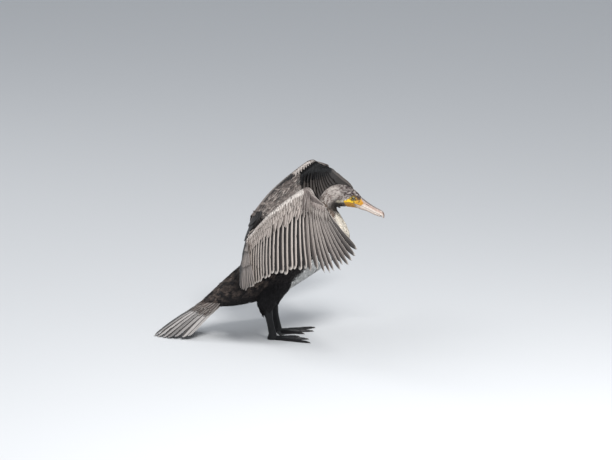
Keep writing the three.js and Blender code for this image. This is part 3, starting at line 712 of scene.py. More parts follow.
def face_colours(points):
    x, _, z = (points - STAND).T
    over = above_gape(x, z)
    from_eye = np.hypot(x - EYE["x"], z - EYE["z"])
    rough = cloudy(points, 0.0045, 6)
    fine = cloudy(points, 0.0014, 7)
    mottled_above = 0.3462 - 0.0075 * step_up(x, 0.178, 0.189)  # lower before the eye than behind it
    mottle = step_up(0.9 * rough + 0.6 * fine + 95 * (z - mottled_above), 0.15, 0.6)
    pouch = step_up(-over, -0.0004, 0.0006)
    pouch_mottle = step_up(-over, 0.0, 0.012) * step_up(fine + 0.5 * rough, 0.0, 0.7)
    jaw = step_up(x + 0.002 * rough + 0.35 * over, 0.185, 0.193) * step_up(-over, -0.001, 0.001)
    gape_line = bump(over, 0, 0.0007) * step_up(x, 0.166, 0.170)
    round_eye = 1 - step_up(from_eye + 0.0006 * fine, 0.0052, 0.0066)
    colours = layered(
        SKIN_YELLOW,
        (step_up(x, 0.188, 0.194) * 0.8, SKIN_ORANGE),
        (step_up(x, 0.164, 0.172) * mottle * 0.92, SKIN_DARK),
        (pouch, SKIN_OCHRE),
        (pouch_mottle * 0.5, SKIN_OLIVE),
        (jaw * 0.85, SKIN_BLUE),
        (jaw * step_up(x + 0.001 * fine, 0.190, 0.200), SKIN_PINK),
        (gape_line * 0.8, SKIN_DARK),
        (round_eye * 0.9, SKIN_OLIVE),
    )
    return colours * (1 + 0.22 * np.clip(fine, -1, 1))[:, None]


face_mesh = to_mesh("face_skin", grid_mesh(300, 140, face_place))
paint(face_mesh, face_colours(spots(face_mesh)))
wear("face_skin", "leg_skin", face_mesh, grained("bare skin", 0.45, 0.0006, 0.00025, 0.12))


# Eyes: glossy balls, dark green round a black pupil, set into both sides of the head. The skin closes
# round each in a thick rim of small beads.
GAZE = (0.12, 0.985, 0.10)
PUPIL, IRIS = math.radians(27), math.radians(50)
CORNEA = {"high": 0.05, "half": 0.7}
LID = {
    "open": math.radians(52), "oval": 0.08, "thick": 0.00075, "wider": 1.3, "on": 0.0053,
    "beads": 26, "bead": 0.2,
}
EYE_BLACK = linear(6, 7, 8)
EYE_GREEN = linear(48, 78, 62)
EYE_RING = linear(18, 24, 20)
EYE_FIBRE = {"Scale": 2500.0, "Detail": 3.0, "Darkest": 0.6, "Palest": 1.5}
eye_material = painted("eye", 0.05, grain, "Object", EYE_FIBRE, Coat_Weight=1.0, Coat_Roughness=0.02)
lid_material = grained("eye rim", 0.5, 0.0005, 0.0002, 0.25)

for name, side in (("left", 1), ("right", -1)):
    centre = placed(side, (EYE["x"], EYE["out"], EYE["z"]))
    gaze = unit(outward(side, GAZE))
    ahead = unit(np.cross(gaze, (0, 0, side)))
    over = unit(np.cross(gaze, ahead))

    def round_eye(turn, off_axis, radius, ahead=ahead, over=over, gaze=gaze, centre=centre):
        ring = ahead * np.cos(turn)[:, None] + over * np.sin(turn)[:, None]
        return centre + (ring * np.sin(off_axis)[:, None] + gaze * np.cos(off_axis)[:, None]) * radius

    def ball(x, y):
        bulge = 1 + CORNEA["high"] * bump(np.pi * y, 0, CORNEA["half"])
        return round_eye(2 * np.pi * x, np.pi * y, (EYE["radius"] * bulge)[:, None])

    def lid(x, y):
        turn, section = 2 * np.pi * y, 2 * np.pi * x
        thick = LID["thick"] * (1 + LID["bead"] * np.sin(LID["beads"] * turn))
        off_axis = LID["open"] * (1 - LID["oval"] * np.cos(2 * turn))
        off_axis = off_axis + thick * np.cos(section) / LID["on"] * LID["wider"]
        return round_eye(turn, off_axis, (LID["on"] + thick * np.sin(section))[:, None])

    eye_mesh = to_mesh(f"eye_{name}_ball", grid_mesh(56, 72, ball))
    off_axis = np.arccos(np.clip(unit(spots(eye_mesh) - centre) @ gaze, -1, 1))
    iris, ring = step_up(off_axis, PUPIL, PUPIL + 0.05), step_up(off_axis, IRIS - 0.16, IRIS)
    paint(eye_mesh, layered(EYE_BLACK, (iris, EYE_GREEN), (ring, EYE_RING)))
    eye = wear(f"eye_{name}_ball", "eye", eye_mesh, eye_material)
    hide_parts(f"eye_{name}")

    rim_mesh = to_mesh(f"eye_{name}_rim", grid_mesh(14, 104, lid))
    points = spots(rim_mesh)
    yellow = step_up(cloudy(points, 0.0012, 8), -0.1, 0.5) * 0.75
    paint(rim_mesh, layered(SKIN_OLIVE, (yellow, SKIN_YELLOW)))
    wear(f"eye_{name}_rim", "leg_skin", rim_mesh, lid_material)


# Bill: two halves of pinkish horn. The upper one has a dark ridge, a groove along each side with the
# nostril in it, and a brown hook. The lower one ends under the hook and is grooved below.
UPPER_BILL = (  # ridge x and z, edge of the mouth x and z, half width
    (0.199, 0.3490, 0.198, 0.3300, 0.0086),
    (0.206, 0.3485, 0.204, 0.3282, 0.0094),
    (0.222, 0.3355, 0.220, 0.3206, 0.0074),
    (0.240, 0.3235, 0.237, 0.3118, 0.0059),
    (0.252, 0.3170, 0.249, 0.3058, 0.0053),
    (0.259, 0.3125, 0.2545, 0.3030, 0.0048),
    (0.263, 0.3050, 0.2575, 0.3010, 0.0032),
    (0.2625, 0.2960, 0.2595, 0.2950, 0.0011),
)
LOWER_BILL = (  # lower line x and z, edge of the mouth x and z, half width
    (0.199, 0.3205, 0.198, 0.3288, 0.0078),
    (0.204, 0.3172, 0.204, 0.3278, 0.0086),
    (0.220, 0.3125, 0.2197, 0.3202, 0.0066),
    (0.237, 0.3044, 0.2367, 0.3114, 0.0052),
    (0.249, 0.2996, 0.2488, 0.3054, 0.0043),
    (0.2544, 0.2990, 0.2542, 0.3026, 0.0028),
)
OUTSIDE = 0.72  # this share of the way round is the outer side, and the rest faces the mouth
SQUARER = 0.8  # below 1 the section of the outer side is fuller than an oval
MOUTH_HOLLOW = 0.22  # how far the side to the mouth is hollow, as a share of the height
GROOVE_FADE = 0.2
SIDE_GROOVE = {"at": math.radians(50), "half": 0.2, "deep": 0.0006, "until": 0.74}
NOSTRIL = {"x": 0.222, "height": 0.62, "long": 0.005, "high": 0.07}
GROWTH_RINGS = {"high": 0.00006, "turns": 90}
CHIN_GROOVE = {"at": math.radians(90), "half": 0.22, "deep": 0.0009, "until": 0.6}
BILL_HORN = linear(202, 184, 172)
BILL_PALE = linear(232, 222, 212)
BILL_RIDGE = linear(84, 72, 70)
BILL_STREAK = linear(158, 126, 112)
BILL_HOOK = linear(104, 76, 64)
BILL_BASE = linear(150, 150, 152)


def bill_place(rows, groove):
    """The places of one half of the bill: y runs from its root to its tip, x round it."""
    line = smooth_line(rows)

    def place(x, y):
        out_x, out_z, mouth_x, mouth_z, half = np.moveaxis(line(y * (len(rows) - 1)), -1, 0)
        angle = np.pi * np.minimum(x / OUTSIDE, 1)
        inner = np.clip((x - OUTSIDE) / (1 - OUTSIDE), 0, 1)
        outer_share = np.abs(np.sin(angle)) ** SQUARER
        share = np.where(inner > 0, MOUTH_HOLLOW * np.sin(np.pi * inner), outer_share)
        across = np.where(inner > 0, 2 * inner - 1, np.cos(angle))
        fade = 1 - step_up(y, groove["until"] - GROOVE_FADE, groove["until"])
        dent = bump(angle, groove["at"], groove["half"]) + bump(np.pi - angle, groove["at"], groove["half"])
        dent = dent * groove["deep"] * fade * (inner == 0)
        growth = GROWTH_RINGS["high"] * np.sin(y * GROWTH_RINGS["turns"] + 3 * np.cos(angle)) * (inner == 0)
        narrow = 1 - (dent - growth) / half
        x_at = mouth_x + (out_x - mouth_x) * share * narrow
        z_at = mouth_z + (out_z - mouth_z) * share * narrow
        return np.stack([x_at, half * across * narrow, z_at], -1) + STAND

    return place


def bill_colours(points, rows, upper):
    """Horn colours by where a point lies along and up the side of its half of the bill."""
    place = points - STAND
    line = smooth_line(rows)(np.linspace(0, len(rows) - 1, 300))
    along = np.abs(place[:, :1] - (line[:, 0] + line[:, 2]) / 2).argmin(1)
    out_z, mouth_z = line[along, 1], line[along, 3]
    height = (place[:, 2] - mouth_z) / (out_z - mouth_z)
    y = along / (len(line) - 1)
    streak = cloudy(place * (0.35, 1, 0.9), 0.0016, 9)
    base = ((1 - step_up(y, 0.1, 0.26)) * 0.55, BILL_BASE)
    hook = step_up(y + 0.02 * streak, 0.84, 0.92)
    colours = layered(BILL_HORN, (step_up(0.45 - height, 0, 0.4) * 0.7, BILL_PALE))
    if upper:
        from_nostril = np.hypot(
            (place[:, 0] - NOSTRIL["x"]) / NOSTRIL["long"], (height - NOSTRIL["height"]) / NOSTRIL["high"]
        )
        lores = 0.0125 - 0.016 * np.abs(height - 0.45) + 0.0006 * streak
        colours = layered(
            colours,
            (bump(height, 0.62, 0.14) * (1 - step_up(y, 0.7, 0.9)) * 0.85, BILL_STREAK),
            (step_up(height + 0.08 * streak, 0.72, 0.92) * (1 - 0.4 * y), BILL_RIDGE),
            # the nostril: a dark slit painted into the side groove, painted shade in its crease
            (1 - step_up(from_nostril, 0.6, 1.0), SKIN_DARK),
            base,
            (hook * 0.9, BILL_HOOK),
            (1 - step_up(place[:, 0] - 0.2, lores - 0.0008, lores + 0.0008), SKIN_ORANGE),
        )
    else:
        lower = (step_up(height, 0.6, 1.0) * 0.5, BILL_RIDGE)
        colours = layered(colours, lower, base, (hook * 0.5, BILL_HOOK))
    return colours * (1 + 0.16 * streak)[:, None]


horn = grained("horn", 0.34, 0.0011, 0.00012, 0.1, Coat_Weight=0.3, Coat_Roughness=0.3)
for name, rows, groove in (
    ("bill_upper", UPPER_BILL, SIDE_GROOVE),
    ("bill_lower", LOWER_BILL, CHIN_GROOVE),
):
    bill_mesh = to_mesh(f"{name}_horn", grid_mesh(84, 150, bill_place(rows, groove)))
    paint(bill_mesh, bill_colours(spots(bill_mesh), rows, name == "bill_upper"))
    half_bill = wear(f"{name}_horn", "bill_horn", bill_mesh, horn)
    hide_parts(name)


# Feathers are thin closed vanes. One flat vane is modelled, then set out many times over the bird:
# it starts in the skin, lies along the coat and ends at the outline of the plumage.
def vane_template(across, along):
    """A flat plate's points, x across and z through from -1 to 1, y from 0 at the root to 1 at the
    tip, and its faces."""
    bm = bmesh.new()
    bmesh.ops.create_grid(bm, x_segments=across, y_segments=along, size=1)
    below = bm.verts[:]
    made = bmesh.ops.extrude_face_region(bm, geom=bm.faces[:], use_keep_orig=True)
    for vert in below:
        vert.co.z = -1
    for vert in made["geom"]:
        if isinstance(vert, bmesh.types.BMVert):
            vert.co.z = 1
    bmesh.ops.recalc_face_normals(bm, faces=bm.faces)
    bm.verts.index_update()
    points = np.array([(v.co.x, (v.co.y + 1) / 2, v.co.z) for v in bm.verts])
    faces = np.array([[v.index for v in f.verts] for f in bm.faces])
    bm.free()
    return points, faces


def set_uv(mesh, name, values):
    layer = mesh.uv_layers.new(name=name)
    layer.uv.foreach_set("vector", np.ascontiguousarray(values, np.float32).ravel())


BAKE_PATCH = 0.003  # size of a small vane on the bake unwrap


def inside_out(points, faces):
    """Which vanes are the mirror image of the flat one, told by the sign of their volume."""
    a, b, c, d = np.moveaxis((points - points.mean(1, keepdims=True))[:, faces], 2, 0)
    return (a * np.cross(b, c) + a * np.cross(c, d)).sum((1, 2)) < 0


def plumes(name, template, points, colours, bake_at, bake_size=(BAKE_PATCH, BAKE_PATCH)):
    """One mesh of many vanes. points holds each vane's points in the template's order, colours one
    colour a vane, and bake_at each root's place on the bake unwrap. The under sides of the vanes
    take the piece's second material, and all faces point outwards."""
    flat, faces = template
    count, each = points.shape[:2]
    mesh = bpy.data.meshes.new(name)
    mesh.vertices.add(count * each)
    mesh.vertices.foreach_set("co", np.ascontiguousarray(points, np.float32).ravel())
    laid = np.where(inside_out(points, faces)[:, None, None], faces[:, ::-1], faces)
    corners = (laid + np.arange(count)[:, None, None] * each).ravel()
    mesh.loops.add(len(corners))
    mesh.loops.foreach_set("vertex_index", corners.astype(np.int32))
    mesh.polygons.add(len(corners) // 4)
    mesh.polygons.foreach_set("loop_start", np.arange(0, len(corners), 4, dtype=np.int32))
    below = (flat[faces][:, :, 2].mean(1) < -0.5).astype(np.int32)
    mesh.polygons.foreach_set("material_index", np.tile(below, count))
    mesh.update(calc_edges=True)
    across, along, _ = np.moveaxis(flat[laid.reshape(count, -1)], -1, 0)
    set_uv(mesh, "Vane", np.stack([across / 2 + 0.5, along], -1))
    patch = np.stack([across / 2, along - 0.5], -1) * bake_size
    set_uv(mesh, "OFBake", np.asarray(bake_at)[:, None] + patch)
    paint(mesh, np.repeat(colours, each, 0))
    mesh.shade_smooth()
    return mesh


# a small vane: how its sides end before its tip, how early it rises through the coat, how late it
# turns aside, how much thinner its edges are, and how its length varies
SMALL = {"sides_back": 0.14, "rise": 0.8, "turn": 1.3, "edges": 0.6, "vary": (0.85, 1.15)}


def lay_vanes(sheet, u, v, way, template, form, rng):
    """Points of small vanes rooted at u, v of a sheet and lying along it. sheet(u, v, sunk) gives its
    places and way the direction of the lie in u and v. form holds length, width and thickness, how far
    down a root and a tip lie in coat depths, the cup across a vane, how much it strays and rolls, and
    the outline as half width by share of the length."""
    flat, _ = template
    x, y, z = flat.T
    small = 1e-3
    over = sheet(u + way[0] * small, v + way[1] * small, 1.0) - sheet(u, v, 1.0)
    speed = np.linalg.norm(over, axis=-1) / small
    length, width, tip = (np.broadcast_to(form[key], u.shape) for key in ("length", "width", "tip"))
    length = length * rng.uniform(*SMALL["vary"], len(u))
    turn = rng.normal(0, form["stray"], len(u))
    reach = (length / speed)[:, None] * (y - SMALL["sides_back"] * np.abs(x) * y**2)[None]
    sunk = form["root"] + (tip[:, None] - form["root"]) * y[None] ** SMALL["rise"]
    ahead = sheet(u[:, None] + way[0][:, None] * reach, v[:, None] + way[1][:, None] * reach, sunk)
    along = unit(over)
    normal = sheet_normal(sheet, u, v) * form["facing"]
    across = unit(np.cross(along, normal))
    half = np.interp(y, *form["outline"])[None] * width[:, None] / 2
    turned = (np.tan(turn) * length)[:, None] * y[None] ** SMALL["turn"]
    roll = rng.normal(0, form["roll"], len(u))[:, None]
    offset = x[None] * half
    height = offset * roll - form["cup"] * np.abs(offset) * np.abs(x)[None]
    height = height + z[None] * form["thick"] / 2 * (1 - SMALL["edges"] * np.abs(x)[None])
    lateral = offset + turned
    return ahead + across[:, None] * lateral[..., None] + normal[:, None] * height[..., None]


# roots: how much further apart they are in a ring than the rings, the fewest in a ring, and how far
# they stray from their places round and along the body
ROOTS = {"apart": 1.05, "fewest": 8, "round": 0.35, "along": 0.4}
RING_V = np.arange(48) / 48


def coat_rows(sheet, u_range, pitch, rng):
    """Roots in staggered rows over a closed sheet; pitch(u) is the distance between them."""
    u_fine = np.linspace(*u_range, 400)
    back, side, belly = (sheet(u_fine, v, 0.0) for v in (0.0, 0.25, 0.5))
    middle = 0.2 * (back + belly) + 0.6 * side
    run = np.append(0, np.cumsum(np.linalg.norm(np.diff(middle, axis=0), axis=1) / pitch(u_fine[1:])))
    rows = np.interp(np.arange(0.5, run[-1]), run, u_fine)
    stray = ROOTS["along"] * abs(rows[1] - rows[0])
    found = []
    for i, row_u in enumerate(rows):
        ring = sheet(np.full(len(RING_V), row_u), RING_V, 0.0)
        around = np.linalg.norm(np.roll(ring, -1, 0) - ring, axis=1).sum()
        count = max(int(around / (pitch(row_u) * ROOTS["apart"])), ROOTS["fewest"])
        v = (np.arange(count) + 0.5 * (i % 2) + rng.uniform(-ROOTS["round"], ROOTS["round"], count)) / count
        found.append(np.stack([row_u + rng.uniform(-1, 1, count) * stray, v], -1))
    return np.vstack(found).T


def vane_markings():
    """The node group behind every feather's look. Place is a vane's own map, where x runs from its
    inner to its outer edge and y from root to tip. It makes pale edges, a dark inner web, the shaft
    and the lines of the barbs, which slant forward from the shaft."""
    takes = {name: "Color" for name in ("Tint", "Edge", "Inner")}
    takes["Place"] = "Vector"
    takes.update({name: "Float" for name in ("Shaft at", "Shaft share", "Edge width", "Edge share")})
    takes.update({name: "Float" for name in ("Inner share", "Barbs", "Slant", "Streak")})
    group, given, out = new_group("vane markings", takes, {"Color": "Color", "Height": "Float"})

    def maths(operation, *values, clamp=False):
        made = add_node(group, "ShaderNodeMath", operation=operation, use_clamp=clamp)
        for socket, value in zip(made.inputs, values):
            if isinstance(value, (int, float)):
                socket.default_value = value
            else:
                join(group, value, socket)
        return made.outputs[0]

    def less(a, b, clamp=False):
        return maths("SUBTRACT", a, b, clamp=clamp)

    def times(a, b, clamp=False):
        return maths("MULTIPLY", a, b, clamp=clamp)

    def mixed(factor, a, b):
        made = add_node(group, "ShaderNodeMix", data_type="RGBA")
        join(group, factor, made.inputs["Factor"])
        join(group, a, made.inputs[6])
        join(group, b, made.inputs[7])
        return made.outputs[2]

    split = add_node(group, "ShaderNodeSeparateXYZ")
    join(group, given["Place"], split.inputs[0])
    x, y = split.outputs[0], split.outputs[1]
    waver = add_node(group, "ShaderNodeTexNoise", Scale=9.0, Detail=2.0)
    join(group, given["Place"], waver.inputs["Vector"])
    wave = less(waver.outputs["Fac"], 0.5)

    from_shaft = less(x, given["Shaft at"])
    beside = maths("ABSOLUTE", from_shaft)
    inner = times(less(times(wave, 0.16), from_shaft), 14.0, clamp=True)
    colour = mixed(times(inner, given["Inner share"]), given["Tint"], given["Inner"])

    to_edge = maths("MINIMUM", less(1.0, x), times(less(1.0, y), 1.4))
    edge = less(maths("ADD", given["Edge width"], times(wave, 0.06)), to_edge)
    edge = times(times(edge, 16.0, clamp=True), given["Edge share"])
    colour = mixed(edge, colour, given["Edge"])

    lines = less(y, times(beside, given["Slant"]))
    ripple = maths("SINE", maths("MULTIPLY_ADD", lines, given["Barbs"], times(wave, 5.0)))
    shaft = less(1.0, times(beside, 26.0), clamp=True)
    streaks = times(less(ripple, 1.0), given["Streak"])
    shade = less(maths("ADD", 1.0, streaks), times(shaft, given["Shaft share"]))
    shade = times(shade, maths("ADD", 0.6, times(y, 1.2), clamp=True))
    dim = add_node(group, "ShaderNodeVectorMath", operation="SCALE")
    join(group, colour, dim.inputs[0])
    join(group, shade, dim.inputs["Scale"])
    join(group, dim.outputs[0], out["Color"])
    join(group, maths("ADD", times(ripple, 0.5), shaft), out["Height"])
    return group


vane_group = vane_markings()
BARB_HEIGHT = 0.0003


def feather_material(name, roughness, relief, edge, inner, gloss=0.5, **values):
    """A painted material of feathers, with the colours of their edges and inner webs."""
    values = {"Edge": (*edge, 1), "Inner": (*inner, 1), **values}
    relief = (relief, BARB_HEIGHT)
    return painted(name, roughness, vane_group, "Vane", values, relief, Specular_IOR_Level=gloss)


# Body feathers: soft, rounded, 20 mm long on the back and belly, narrower up the neck, and little more
# than hairs on the head. They are rooted in rows and lie towards the tail.
COAT = np.array((  # by station of the trunk: distance between roots, length and width of a feather
    (0, 0.0044, 0.020, 0.0092),
    (3, 0.0044, 0.020, 0.0092),
    (6, 0.0042, 0.018, 0.0085),
    (8, 0.0032, 0.014, 0.0055),
    (10, 0.0022, 0.0115, 0.0034),
    (11, 0.0017, 0.0095, 0.0024),
    (12, 0.0015, 0.0082, 0.0021),
    (14, 0.0012, 0.0062, 0.0017),
    (17, 0.00095, 0.0036, 0.0013),
)).T
ROUND_TIP = ((0, 0.25, 0.55, 0.8, 1), (0.35, 0.85, 1, 0.8, 0.2))
HAIR_TIP = ((0, 0.33, 0.66, 1), (0.5, 1, 0.8, 0.06))
SOFT_FORM = {
    "thick": 0.0003, "root": 1.1, "tip": 0.0, "cup": 0.2, "stray": 0.1, "roll": 0.12,
    "outline": ROUND_TIP, "facing": 1,
}
HAIR_FORM = {**SOFT_FORM, "thick": 0.00018, "stray": 0.16, "roll": 0.2, "outline": HAIR_TIP}
EYE_CLEAR = 1.3  # no feather roots within this many radii of the eye's middle
small_vane = vane_template(2, 4)
hair_vane = vane_template(2, 3)
coat_rng = np.random.default_rng(11)
coat_u, coat_v = coat_rows(
    trunk, (0.0, 0.999), lambda u: np.interp(u * TRUNK_LAST, COAT[0], COAT[1]), coat_rng
)
coat_at = trunk(coat_u, coat_v, 0.0) - STAND
on_face = edge_distance(coat_at[:, 0], coat_at[:, 2], FACE_EDGE) > 0
in_eye = np.hypot(coat_at[:, 0] - EYE["x"], coat_at[:, 2] - EYE["z"]) < EYE["radius"] * EYE_CLEAR
coat_u, coat_v = coat_u[~on_face & ~in_eye], coat_v[~on_face & ~in_eye]
coat_colours = trunk_markings(coat_u, coat_v, trunk(coat_u, coat_v, 0.0))
coat_colours = coat_colours * coat_rng.uniform(0.8, 1.2, (len(coat_u), 1))
coat_station = coat_u * TRUNK_LAST
body_feather = feather_material(
    "body feather", 0.6, 0.3, linear(150, 140, 132), linear(60, 55, 52), gloss=0.25,
    Shaft_at=0.5, Shaft_share=0.1, Edge_width=0.05, Edge_share=0.1, Inner_share=0.0,
    Barbs=46.0, Slant=2.2, Streak=0.13,
)
hair_feather = feather_material(
    "head feather", 0.6, 0.25, linear(236, 228, 220), linear(60, 55, 52),
    Shaft_at=0.5, Shaft_share=0.25, Edge_width=0.04, Edge_share=0.2, Inner_share=0.0,
    Barbs=24.0, Slant=3.0, Streak=0.2,
)


BAKE_BORDER = 0.02


def bake_spots(u, v):
    """Places on the unwrap by the way along and round a sheet, clear of its border."""
    return np.stack([u, v], -1) * (1 - 2 * BAKE_BORDER) + BAKE_BORDER


SOFT = (small_vane, SOFT_FORM, body_feather)
HAIRY = (hair_vane, HAIR_FORM, hair_feather)
for name, first, last, slot, (vane, form, material) in (  # first and last station of the trunk
    ("coat_rump", 0, 2.4, "body_feathers", SOFT),
    ("coat_loin", 2.4, 4.0, "body_feathers", SOFT),
    ("coat_breast", 4.0, 6.5, "body_feathers", SOFT),
    ("coat_neck", 6.5, 10.0, "neck_feathers", SOFT),
    ("coat_nape", 10.0, 12.0, "head_feathers", HAIRY),
    ("coat_crown", 12.0, 14.0, "head_feathers", HAIRY),
    ("coat_brow", 14.0, 17.0, "head_feathers", HAIRY),
):
    here = (coat_station >= first) & (coat_station < last)
    u, v, station = coat_u[here], coat_v[here], coat_station[here]
    length, width = (np.interp(station, COAT[0], column) for column in COAT[2:])
    lie = (np.full(len(u), -1.0), coat_rng.normal(0, 0.02, len(u)))
    points = lay_vanes(trunk, u, v, lie, vane, {**form, "length": length, "width": width}, coat_rng)
    bake_at = bake_spots((station - first) / (last - first), v % 1)
    wear(name, slot, plumes(name, vane, points, coat_colours[here], bake_at), material, material)


# Thighs: close black feathers, rooted in the skin of the upper leg from the belly down to the heel.
# Those at the rear are longer and hang loose.
THIGH_BLACK = linear(24, 22, 24)
THIGH_PITCH = 0.0036
THIGH_FORM = {**SOFT_FORM, "length": 0.014, "width": 0.0058, "tip": -0.1, "stray": 0.14, "roll": 0.15}
LOOSE = {"rear": (0.55, 0.95), "down": (0.45, 0.75), "longer": 0.013, "narrower": 0.002, "off": 1.5}
thigh_rng = np.random.default_rng(12)
for name, leg in LEGS.items():

    def sheet(u, v, sunk, leg=leg):
        return thigh(leg, u, v, sunk)

    u, v = coat_rows(sheet, (0.02, 0.97), lambda u: THIGH_PITCH + 0 * u, thigh_rng)
    loose = step_up(-np.cos(2 * np.pi * v), *LOOSE["rear"]) * step_up(u, *LOOSE["down"])
    form = dict(THIGH_FORM)
    for key, change in (("length", LOOSE["longer"]), ("width", -LOOSE["narrower"]), ("tip", -LOOSE["off"])):
        form[key] = THIGH_FORM[key] + change * loose
    points = lay_vanes(sheet, u, v, (np.ones(len(u)), np.zeros(len(u))), small_vane, form, thigh_rng)
    colours = THIGH_BLACK * thigh_rng.uniform(0.6, 1.5, (len(u), 1))
    mesh = plumes(f"coat_thigh_{name}", small_vane, points, colours, bake_spots(u, v % 1))
    wear(f"coat_thigh_{name}", "body_feathers", mesh, body_feather, body_feather)


# Wings. Long flight feathers in one row on the forearm and one on the hand, covered at their roots by
# tiers of shorter feathers above and below, with the tertials fanned behind the elbow and the
# scapulars from the shoulder. Every feather lies under the next, with its shaft near its free edge.
LONG_TIP = ((0, 0.08, 0.25, 0.62, 0.9, 0.955, 0.985, 1), (0.25, 0.55, 0.84, 1, 0.95, 0.8, 0.55, 0.1))
HAND_TIP = ((0, 0.08, 0.25, 0.55, 0.84, 0.93, 0.975, 1), (0.2, 0.45, 0.8, 1, 0.84, 0.62, 0.4, 0.06))
SHORT_TIP = ((0, 0.2, 0.5, 0.8, 0.92, 1), (0.4, 0.8, 1, 0.82, 0.5, 0.08))
LONG_COLUMNS = (-1, -0.66, -0.3, -0.06, 0, 0.06, 0.3, 0.66, 1)  # close together beside the shaft
SHORT_COLUMNS = (-1, -0.6, -0.08, 0, 0.08, 0.6, 1)
CLEAR = 0.0003  # between a feather and the next
FLATTEST, STEEPEST = 0.08, 0.5  # tilt of a feather over the one that it lies on
SPLITS = {"places": 40, "chance": 0.08, "deep": 0.22, "rough": 0.03, "from": 0.15}
BARBS = {"forward": 1.1, "fade": 0.7}  # they slant forward from the shaft, less towards the tip
RIB_TAPER, EDGE_THINNER = 0.8, 0.5
ARM_FADE = 1.5  # how far behind the arm its height fades out, in half depths of the arm


def finer_at_tip(template):
    """A template whose rows crowd towards the tip, to round it."""
    points, faces = template
    points = points.copy()
    points[:, 1] = 0.4 * points[:, 1] + 0.6 * np.sin(points[:, 1] * np.pi / 2)
    return points, faces


long_vane = finer_at_tip(vane_template(8, 26))
short_vane = finer_at_tip(vane_template(6, 8))


def arm_top(row, s, share):
    """Height of the flesh of the arm over its row's surface, fading out behind it."""
    deep, thick = np.interp(s, ARM_S, ARM_DEEP), np.interp(s, ARM_S, ARM_THICK)
    behind = share * np.linalg.norm(row.chord(s), axis=-1) / deep - 1
    round_top = np.sqrt(np.clip(1 - np.clip(behind, -1, 0) ** 2, 0, 1))
    return thick * np.where(behind < 0, round_top, np.exp(-((behind / ARM_FADE) ** 2)))


def long_vanes(row, form, template, rng):
    """Points of a row's feathers, one at each of the form's stations."""
    x, y, z = template[0].T
    columns = np.array(LONG_COLUMNS if template is long_vane else SHORT_COLUMNS)
    shaft, side, width, thick = form["shaft"], form["side"], form["width"], form["thick"]
    spread = np.where(columns < 0, shaft + columns * (1 + shaft), shaft + columns * (1 - shaft))
    x = np.interp(x, np.linspace(-1, 1, len(spread)), spread)
    beside = np.abs(x - shaft)
    half = np.interp(y, *form["outline"]) * width / 2
    stations = form["stations"]
    made = []
    for s in stations:
        start, end = form["from"], form["to"] * rng.uniform(1 - form["ragged"], 1 + form["ragged"])
        length = (end - start) * np.linalg.norm(row.chord(s))
        split = rng.uniform(0, 1, (2, SPLITS["places"])) < SPLITS["chance"]
        edges = rng.uniform(-SPLITS["rough"], SPLITS["rough"], split.shape) - SPLITS["deep"] * split
        at = y * (SPLITS["places"] - 1)
        inner, outer = (np.interp(at, np.arange(SPLITS["places"]), edge) for edge in edges)
        wobble = np.where(x < shaft, inner, outer) * beside * (y > SPLITS["from"])
        offset = x * half * (1 + wobble)
        slant = BARBS["forward"] * np.abs(offset - shaft * half) / length * (1 - y) ** BARBS["fade"]
        share = start + (end - start) * np.clip(y + slant, 0, 1)
        station = np.full(len(x), s)
        along, across, up = row.axes(station, share)
        to_next = row.step(s, stations[1] - stations[0], share)
        rising = (thick + CLEAR + side * (to_next * up).sum(-1)) / np.abs((to_next * across).sum(-1))
        tilt = side * np.clip(rising, FLATTEST, STEEPEST)[:, None]
        flat_way, rise_way = unit(across + up * tilt), unit(up - across * tilt)
        lift = form["lift"][0] + (form["lift"][1] - form["lift"][0]) * y
        lift = lift + side * form["over_arm"] * arm_top(row, s, share)
        stray = rng.normal(0, form["stray"]) * y**2 * length
        camber = -form["camber"] * side * beside**2 * width / 2
        ridge = form["rib"] * (beside < 1e-4) * (1 - RIB_TAPER * y)
        height = camber + z * (thick / 2 * (1 - EDGE_THINNER * np.abs(x)) + ridge)
        centre = row.base(station, share) + up * lift[:, None]
        made.append(centre + flat_way * (offset + stray)[:, None] + rise_way * height[:, None])
    return np.array(made)


FLIGHT = {
    "thick": 0.0004, "rib": 0.0006, "shaft": 0.42, "outline": LONG_TIP, "camber": 0.1, "side": 1,
    "over_arm": 0.0, "ragged": 0.03, "stray": 0.008,
}
COVERT = {
    "thick": 0.0002, "rib": 0.00015, "shaft": 0.0, "outline": SHORT_TIP, "camber": 0.08, "side": 1,
    "over_arm": 1.0, "ragged": 0.12, "stray": 0.05,
}


def tier(first, last, count, width, start, end, lift=(0.0, 0.0), **more):
    """One row of feathers: its stations, their width, where they start and end on the way from the
    line of the roots to that of the tips, and how far both ends are lifted."""
    stations = np.linspace(first, last, count)
    return {"stations": stations, "width": width, "from": start, "to": end, "lift": lift, **more}


